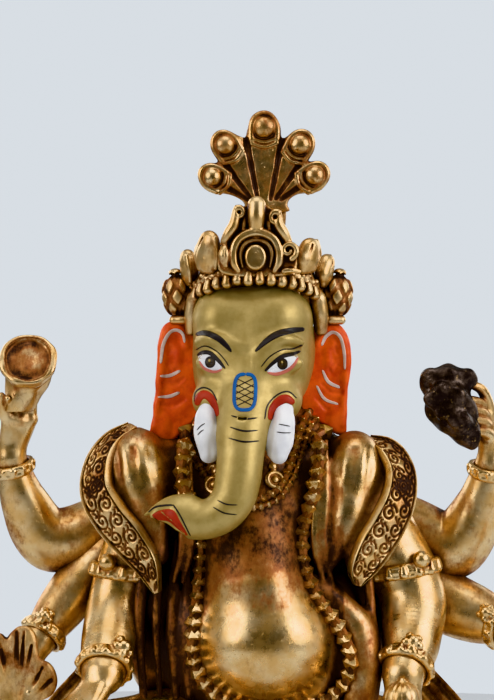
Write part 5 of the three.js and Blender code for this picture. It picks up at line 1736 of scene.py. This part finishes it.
def make_legs():
    """Crossed legs in a wrapped cloth whose folds run round the knees and fan out in front."""
    clay = Clay((-62, -47, 34), (62, 31, 74), 0.53)
    clay.ball((0, 2, 54), (34, 24.5, 17), soft=0)
    for side in (RIGHT, LEFT):
        clay.limb(mirrored([(12, 3, 52), (30, -4, 52), (46, -13, 50)], side), [15, 13.4, 12], soft=5,
                  count=20)
    clay.limb([(46, -15, 47), (26, -26, 45.5), (6, -30, 43)], [10, 8.4, 5.6], soft=2.6, count=18)
    clay.limb([(-46, -15, 47.6), (-22, -28, 46), (4, -33, 43.6)], [10, 8.6, 5.6], soft=1.6, count=18)
    foot(clay, (-8, -33.6, 41.4), (-24, -37, 40.6), 1.0)
    foot(clay, (8, -34.6, 42.4), (24, -36.2, 41.4), 1.4)
    for side in (RIGHT, LEFT):
        for n in range(7):
            x = 14 + 5.2 * n
            fold = [(x + 1, 12 - 1.6 * n, 66 - 2.3 * n), (x + 3, -8 - 1.4 * n, 66.5 - 1.9 * n),
                    (x + 0.5, -24 - 0.6 * n, 58 - 1.3 * n), (x - 3, -33, 48)]
            clay.limb(mirrored(fold, side), [0.5, 0.75, 0.75, 0.4], soft=1.2, carve=n % 2 == 0, count=24)
        hem = [(40.5, -27, 39.5), (33, -33.6, 44), (30.5, -34, 50.5), (34, -27.6, 58)]
        clay.limb(mirrored(hem, side), 1.0, soft=0.6, count=20)
    for n in range(7):
        x = -9 + 3 * n
        clay.limb([(x * 0.5, -28, 54), (x * 0.8, -35.6, 46), (x * 1.25, -39, 37.4)], [0.9, 1.5, 1.7],
                  soft=0.8, count=14)
    for z, r in ((61.5, 1.0), (64.5, 0.8)):
        belt = []
        for a in angles(24):
            wide, deep = 29 - (z - 61.5) * 1.2, 25 - (z - 61.5)
            belt.append((1.5 + wide * math.sin(a), -1.5 - deep * math.cos(a), z - 2.5 * math.cos(a)))
        clay.limb(belt, r, closed=True, count=70, soft=0.8)
    clay.waver(0.4, 11, seed=7)
    clay.level(36.3, above=False)
    return clay.cast("legs", GILT)


def make_anklet(name, centre, along):
    """A string of round beads about an ankle."""
    axis = unit(along)
    up = unit(np.array([0, 0, 1.0]) - axis * axis[2])
    side = np.cross(axis, up)
    centre = np.array(centre, dtype=float)
    clay = Clay(centre - 11, centre + 11, 0.3)

    def spot(a, r):
        return centre + (up * math.cos(a) + side * math.sin(a)) * r

    clay.limb([spot(a, 6.2) for a in angles(12)], 1.0, closed=True, count=36)
    for a in angles(16):
        clay.ball(spot(a, 6.9), 1.3, soft=0.2)
    clay.level(36.3, above=False)
    clay.cast(name, GILT)


def make_scarf(side):
    """A cloth end blown back behind the arms: a rippled ribbon with a rolled hem."""
    name = sided("scarf", side)
    rows, columns = 90, 24
    centre = spline([(31, 12, 97), (36, 13, 86), (41, 12, 76), (46, 10, 67), (54, 6, 58), (62, 1, 49),
                     (66, -2, 42)], rows)
    half = spline([2.6, 4.0, 4.8, 5.2, 5.6, 5.6, 4.2], rows)[:, 0]
    ahead = unit(np.gradient(centre, axis=0))
    out = unit(np.array([0, 1.0, 0]) - ahead * ahead[:, 1:2])
    across = np.cross(ahead, out)
    v = np.linspace(-1, 1, columns)[None, :]
    t = np.linspace(0, 1, rows)[:, None]
    ripple = 0.75 * np.sin(3 * math.pi * v + 2.2 * t) * np.clip(2 * t, 0.25, 1)
    hem = 0.5 * np.exp(-((np.abs(v) - 0.9) / 0.1) ** 2)
    thick = 0.75 * np.sqrt(np.clip(1 - np.abs(v) ** 8, 0.02, 1))
    swell = 1 + 0.06 * np.sin(14 * t)
    flat = centre[:, None] + across[:, None] * (v * half[:, None] * swell)[..., None]
    back = flat + out[:, None] * (ripple + thick + hem)[..., None]
    fore = flat + out[:, None] * (ripple - thick - hem)[..., None]
    verts = np.vstack([back.reshape(-1, 3), fore.reshape(-1, 3)])
    verts[:, 0] *= side
    faces = slab_faces(rows, columns)
    if side == RIGHT:
        faces = [face[::-1] for face in faces]
    settle(mesh_object(name, verts, faces, GILT_DARK), [name])


BASE_DEPTH = 0.77
BASE_TOP = 36.0
PETALS = 14


def base_ring(radius, z, count=72):
    """A closed line round the base at a radius and height."""
    return [(radius * math.sin(a), -radius * BASE_DEPTH * math.cos(a), z) for a in angles(count)]


def make_base():
    """The double lotus: ribbed petals turned down and up, a row of beads above and a plain plinth below."""
    clay = Clay((-68, -53, -2), (68, 53, 40), 0.75)
    squash = np.float32(BASE_DEPTH)
    where, (x, y, z) = clay._block((-68, -53, -2), (68, 53, 40))
    across = np.sqrt(x * x + (y / squash) ** 2)
    profile_z = np.array([-2, 0.2, 2, 5.4, 6.6, 9, 12, 15, 18.4, 21, 25, 29, 31.2, 32.4, 34.6, 35.6,
                          36.2, 42])
    profile_r = np.array([62.6, 62.8, 63.8, 63.6, 59.0, 57.0, 54.6, 51.4, 48.8, 50.2, 53.0, 55.0, 55.4,
                          53.6, 53.6, 54.4, 53.8, 53.8])
    radius = np.interp(z, profile_z, profile_r).astype(np.float32)
    clay.field[where] = (across - radius) * 0.8
    clay.level(BASE_TOP)
    clay.level(0, above=False)
    for row, (radius, z, width, height,
              lean) in enumerate(((54.8, 25.4, 10.6, 8.0, -20), (57.6, 11.2, 11.0, 6.6, 34))):
        for n in range(PETALS):
            a = 2 * math.pi * (n + 0.5 * row) / PETALS
            spot = np.array([radius * math.sin(a), -radius * BASE_DEPTH * math.cos(a), z])
            way = np.array([math.sin(a) * BASE_DEPTH, -math.cos(a), 0])
            clay.at(spot, facing(way) @ turn(x=lean))
            tip = 1 if row == 0 else -1
            clay.ball((0, 0, 0), (width * 0.98, 2.3, height), soft=0.8)
            clay.ball((0, -0.9, -0.16 * height * tip), (width * 0.62, 2.5, height * 0.62), soft=0.5)
            clay.limb([(0, -1.3, 0.5 * height * tip), (0, -2.4, 1.06 * height * tip)], [2.0, 0.7],
                      soft=1.2, count=5)
            for s in (RIGHT, LEFT):
                clay.limb([(s * width * 0.7, -1.9, -0.5 * height * tip),
                           (s * width * 0.66, -2.4, 0.3 * height * tip), (0, -2.9, 0.86 * height * tip)],
                          0.4, soft=0.6, carve=True, count=10)
    clay.at()
    for spot in base_ring(53.4, 33.5, 76):
        clay.ball(spot, (1.9, 1.9, 1.7), soft=0.25)
    clay.limb(base_ring(51.4, 18.8, 36), 1.3, closed=True, count=90, soft=0.8)
    clay.limb(base_ring(60.6, 6.9, 36), 1.0, closed=True, count=90, soft=0.6)
    clay.level(BASE_TOP)
    clay.ball((0, 0, -2), (59, 59 * BASE_DEPTH, 4.4), soft=0.4, carve=True)
    clay.waver(0.2, 14, seed=2)
    clay.level(0, above=False)
    return clay.cast("lotus_base", GILT)


def dress_cad_node(node, material):
    """A CAD node whose shape is right keeps it and gets a finish."""
    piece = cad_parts[node]
    piece.data.materials.clear()
    piece.data.materials.append(material)


# ---------------------------------------------------------------- building it

head = make_head()
tusks = [make_tusk(RIGHT), make_tusk(LEFT)]
ears = [make_ear("ear_right"), make_ear("ear_left")]
paint_eyes(head)
paint_lines(head)
paint_marks(head)
paint_ears(ears)
paint_tusks(tusks)
make_crown_cap()
make_crown_band()
make_crown_leaves()
make_medallion()
make_rosette(RIGHT)
make_rosette(LEFT)
make_hood()
make_hood_stem()
torso = make_torso()
for arm_name in ARMS:
    make_arm(arm_name)
make_garland(torso)
make_collar(torso)
make_pendant("pendant_right", -11.0, 123.0, torso)
make_pendant("pendant_left", 5.2, 124.4, torso)
for band_name in BANDS:
    make_band(band_name)
for ring_name in RINGS:
    make_ring(ring_name)
make_bowl()
make_conch()
make_radish()
make_goad()
make_sweet()
make_legs()
make_anklet("anklet_right", (0, -33.2, 43.6), (26, -6, -2))
make_anklet("anklet_left", (12, -29, 43.4), (-20, -2, -2.5))
make_scarf(RIGHT)
make_scarf(LEFT)
make_base()
dress_cad_node("base_plate", COPPER)
for side in (RIGHT, LEFT):
    dress_cad_node(sided("arm_rivet_upper", side), COPPER)
    dress_cad_node(sided("arm_rivet_middle", side), COPPER)


# ---------------------------------------------------------------- floor, light and camera

def make_floor():
    """A plain round sheet of pale paper, just under the base."""
    bpy.ops.mesh.primitive_circle_add(vertices=96, radius=0.5, fill_type="NGON", location=(0, 0, -0.0002))
    floor = bpy.context.object
    floor.name = "floor"
    n = Nodes("floor_paper")
    tone = n.mix(n.ramp(n.noise(60, 2), 0.3, 0.7), (0.66, 0.70, 0.75), (0.69, 0.73, 0.78))
    n.set(n.shader.inputs["Base Color"], tone)
    n.shader.inputs["Roughness"].default_value = 0.8
    floor.data.materials.append(n.material)


def make_world():
    """A pale studio. The camera sees a plain backdrop; metal sees bright sides and top, and a dim front."""
    world = bpy.data.worlds.new("studio")
    bpy.context.scene.world = world
    world.use_nodes = True
    tree = world.node_tree
    tree.nodes.clear()
    link = tree.links.new
    split = tree.nodes.new("ShaderNodeSeparateXYZ")
    link(tree.nodes.new("ShaderNodeTexCoord").outputs["Generated"], split.inputs[0])

    def step(value, low, high, bright):
        node = tree.nodes.new("ShaderNodeMapRange")
        node.interpolation_type = "SMOOTHSTEP"
        for key, number in (("From Min", low), ("From Max", high), ("To Max", bright)):
            node.inputs[key].default_value = number
        link(value, node.inputs["Value"])
        return node.outputs["Result"]

    def maths(operation, a, b=None):
        node = tree.nodes.new("ShaderNodeMath")
        node.operation = operation
        link(a, node.inputs[0])
        if isinstance(b, float):
            node.inputs[1].default_value = b
        elif b is not None:
            link(b, node.inputs[1])
        return node.outputs[0]

    sides = step(maths("ABSOLUTE", split.outputs["X"]), 0.30, 0.85, 0.24)
    top = step(split.outputs["Z"], 0.15, 0.85, 0.24)
    back = step(split.outputs["Y"], -0.2, 0.6, 0.05)
    total = maths("ADD", maths("ADD", sides, top), back)
    above = step(split.outputs["Z"], -0.5, 0.05, 1.0)
    glow = maths("ADD", maths("MULTIPLY", total, above), 0.065)
    room = tree.nodes.new("ShaderNodeBackground")
    room.inputs["Color"].default_value = (1.0, 0.97, 0.93, 1)
    link(glow, room.inputs["Strength"])
    seen = tree.nodes.new("ShaderNodeBackground")
    seen.inputs["Color"].default_value = (0.735, 0.778, 0.826, 1)
    rays = tree.nodes.new("ShaderNodeLightPath")
    mix = tree.nodes.new("ShaderNodeMixShader")
    output = tree.nodes.new("ShaderNodeOutputWorld")
    link(rays.outputs["Is Camera Ray"], mix.inputs["Fac"])
    link(room.outputs["Background"], mix.inputs[1])
    link(seen.outputs["Background"], mix.inputs[2])
    link(mix.outputs["Shader"], output.inputs["Surface"])


def soft_box(name, spot, size, power, colour):
    """A square area light aimed at the idol's chest."""
    light = bpy.data.lights.new(name, "AREA")
    light.shape = "RECTANGLE"
    light.size, light.size_y = size
    light.energy = power
    light.color = colour
    lamp = bpy.data.objects.new(name, light)
    lamp.location = spot
    lamp.rotation_euler = (Vector((0, 0, 0.13)) - Vector(spot)).to_track_quat("-Z", "Y").to_euler()
    bpy.context.scene.collection.objects.link(lamp)


def make_camera():
    """A long lens, level with the idol's chest and straight in front."""
    camera = bpy.data.objects.new("camera", bpy.data.cameras.new("camera"))
    camera.data.lens = 133.3
    camera.data.sensor_width = 36
    camera.location = (-0.0022, -0.72, 0.160)
    camera.rotation_euler = (math.radians(90), 0, 0)
    camera.data.clip_start = 0.01
    bpy.context.scene.collection.objects.link(camera)
    bpy.context.scene.camera = camera


SOFT_BOXES = {
    # name: place, size, power in watts, colour
    "left_box": ((-0.62, -0.40, 0.42), (0.45, 0.50), 2.3, (1.0, 0.98, 0.95)),
    "right_box": ((0.62, -0.36, 0.40), (0.45, 0.50), 3.1, (1.0, 0.99, 0.97)),
    "top_box": ((0.0, -0.15, 0.85), (0.50, 0.50), 1.6, (1, 1, 1)),
    "back_left": ((-0.50, 0.55, 0.40), (0.40, 0.40), 1.4, (1, 1, 1)),
    "back_right": ((0.50, 0.55, 0.35), (0.40, 0.40), 1.1, (1, 1, 1)),
}

make_floor()
make_world()
for box_name, box in SOFT_BOXES.items():
    soft_box(box_name, *box)
make_camera()
bpy.context.scene.view_settings.view_transform = "Khronos PBR Neutral"
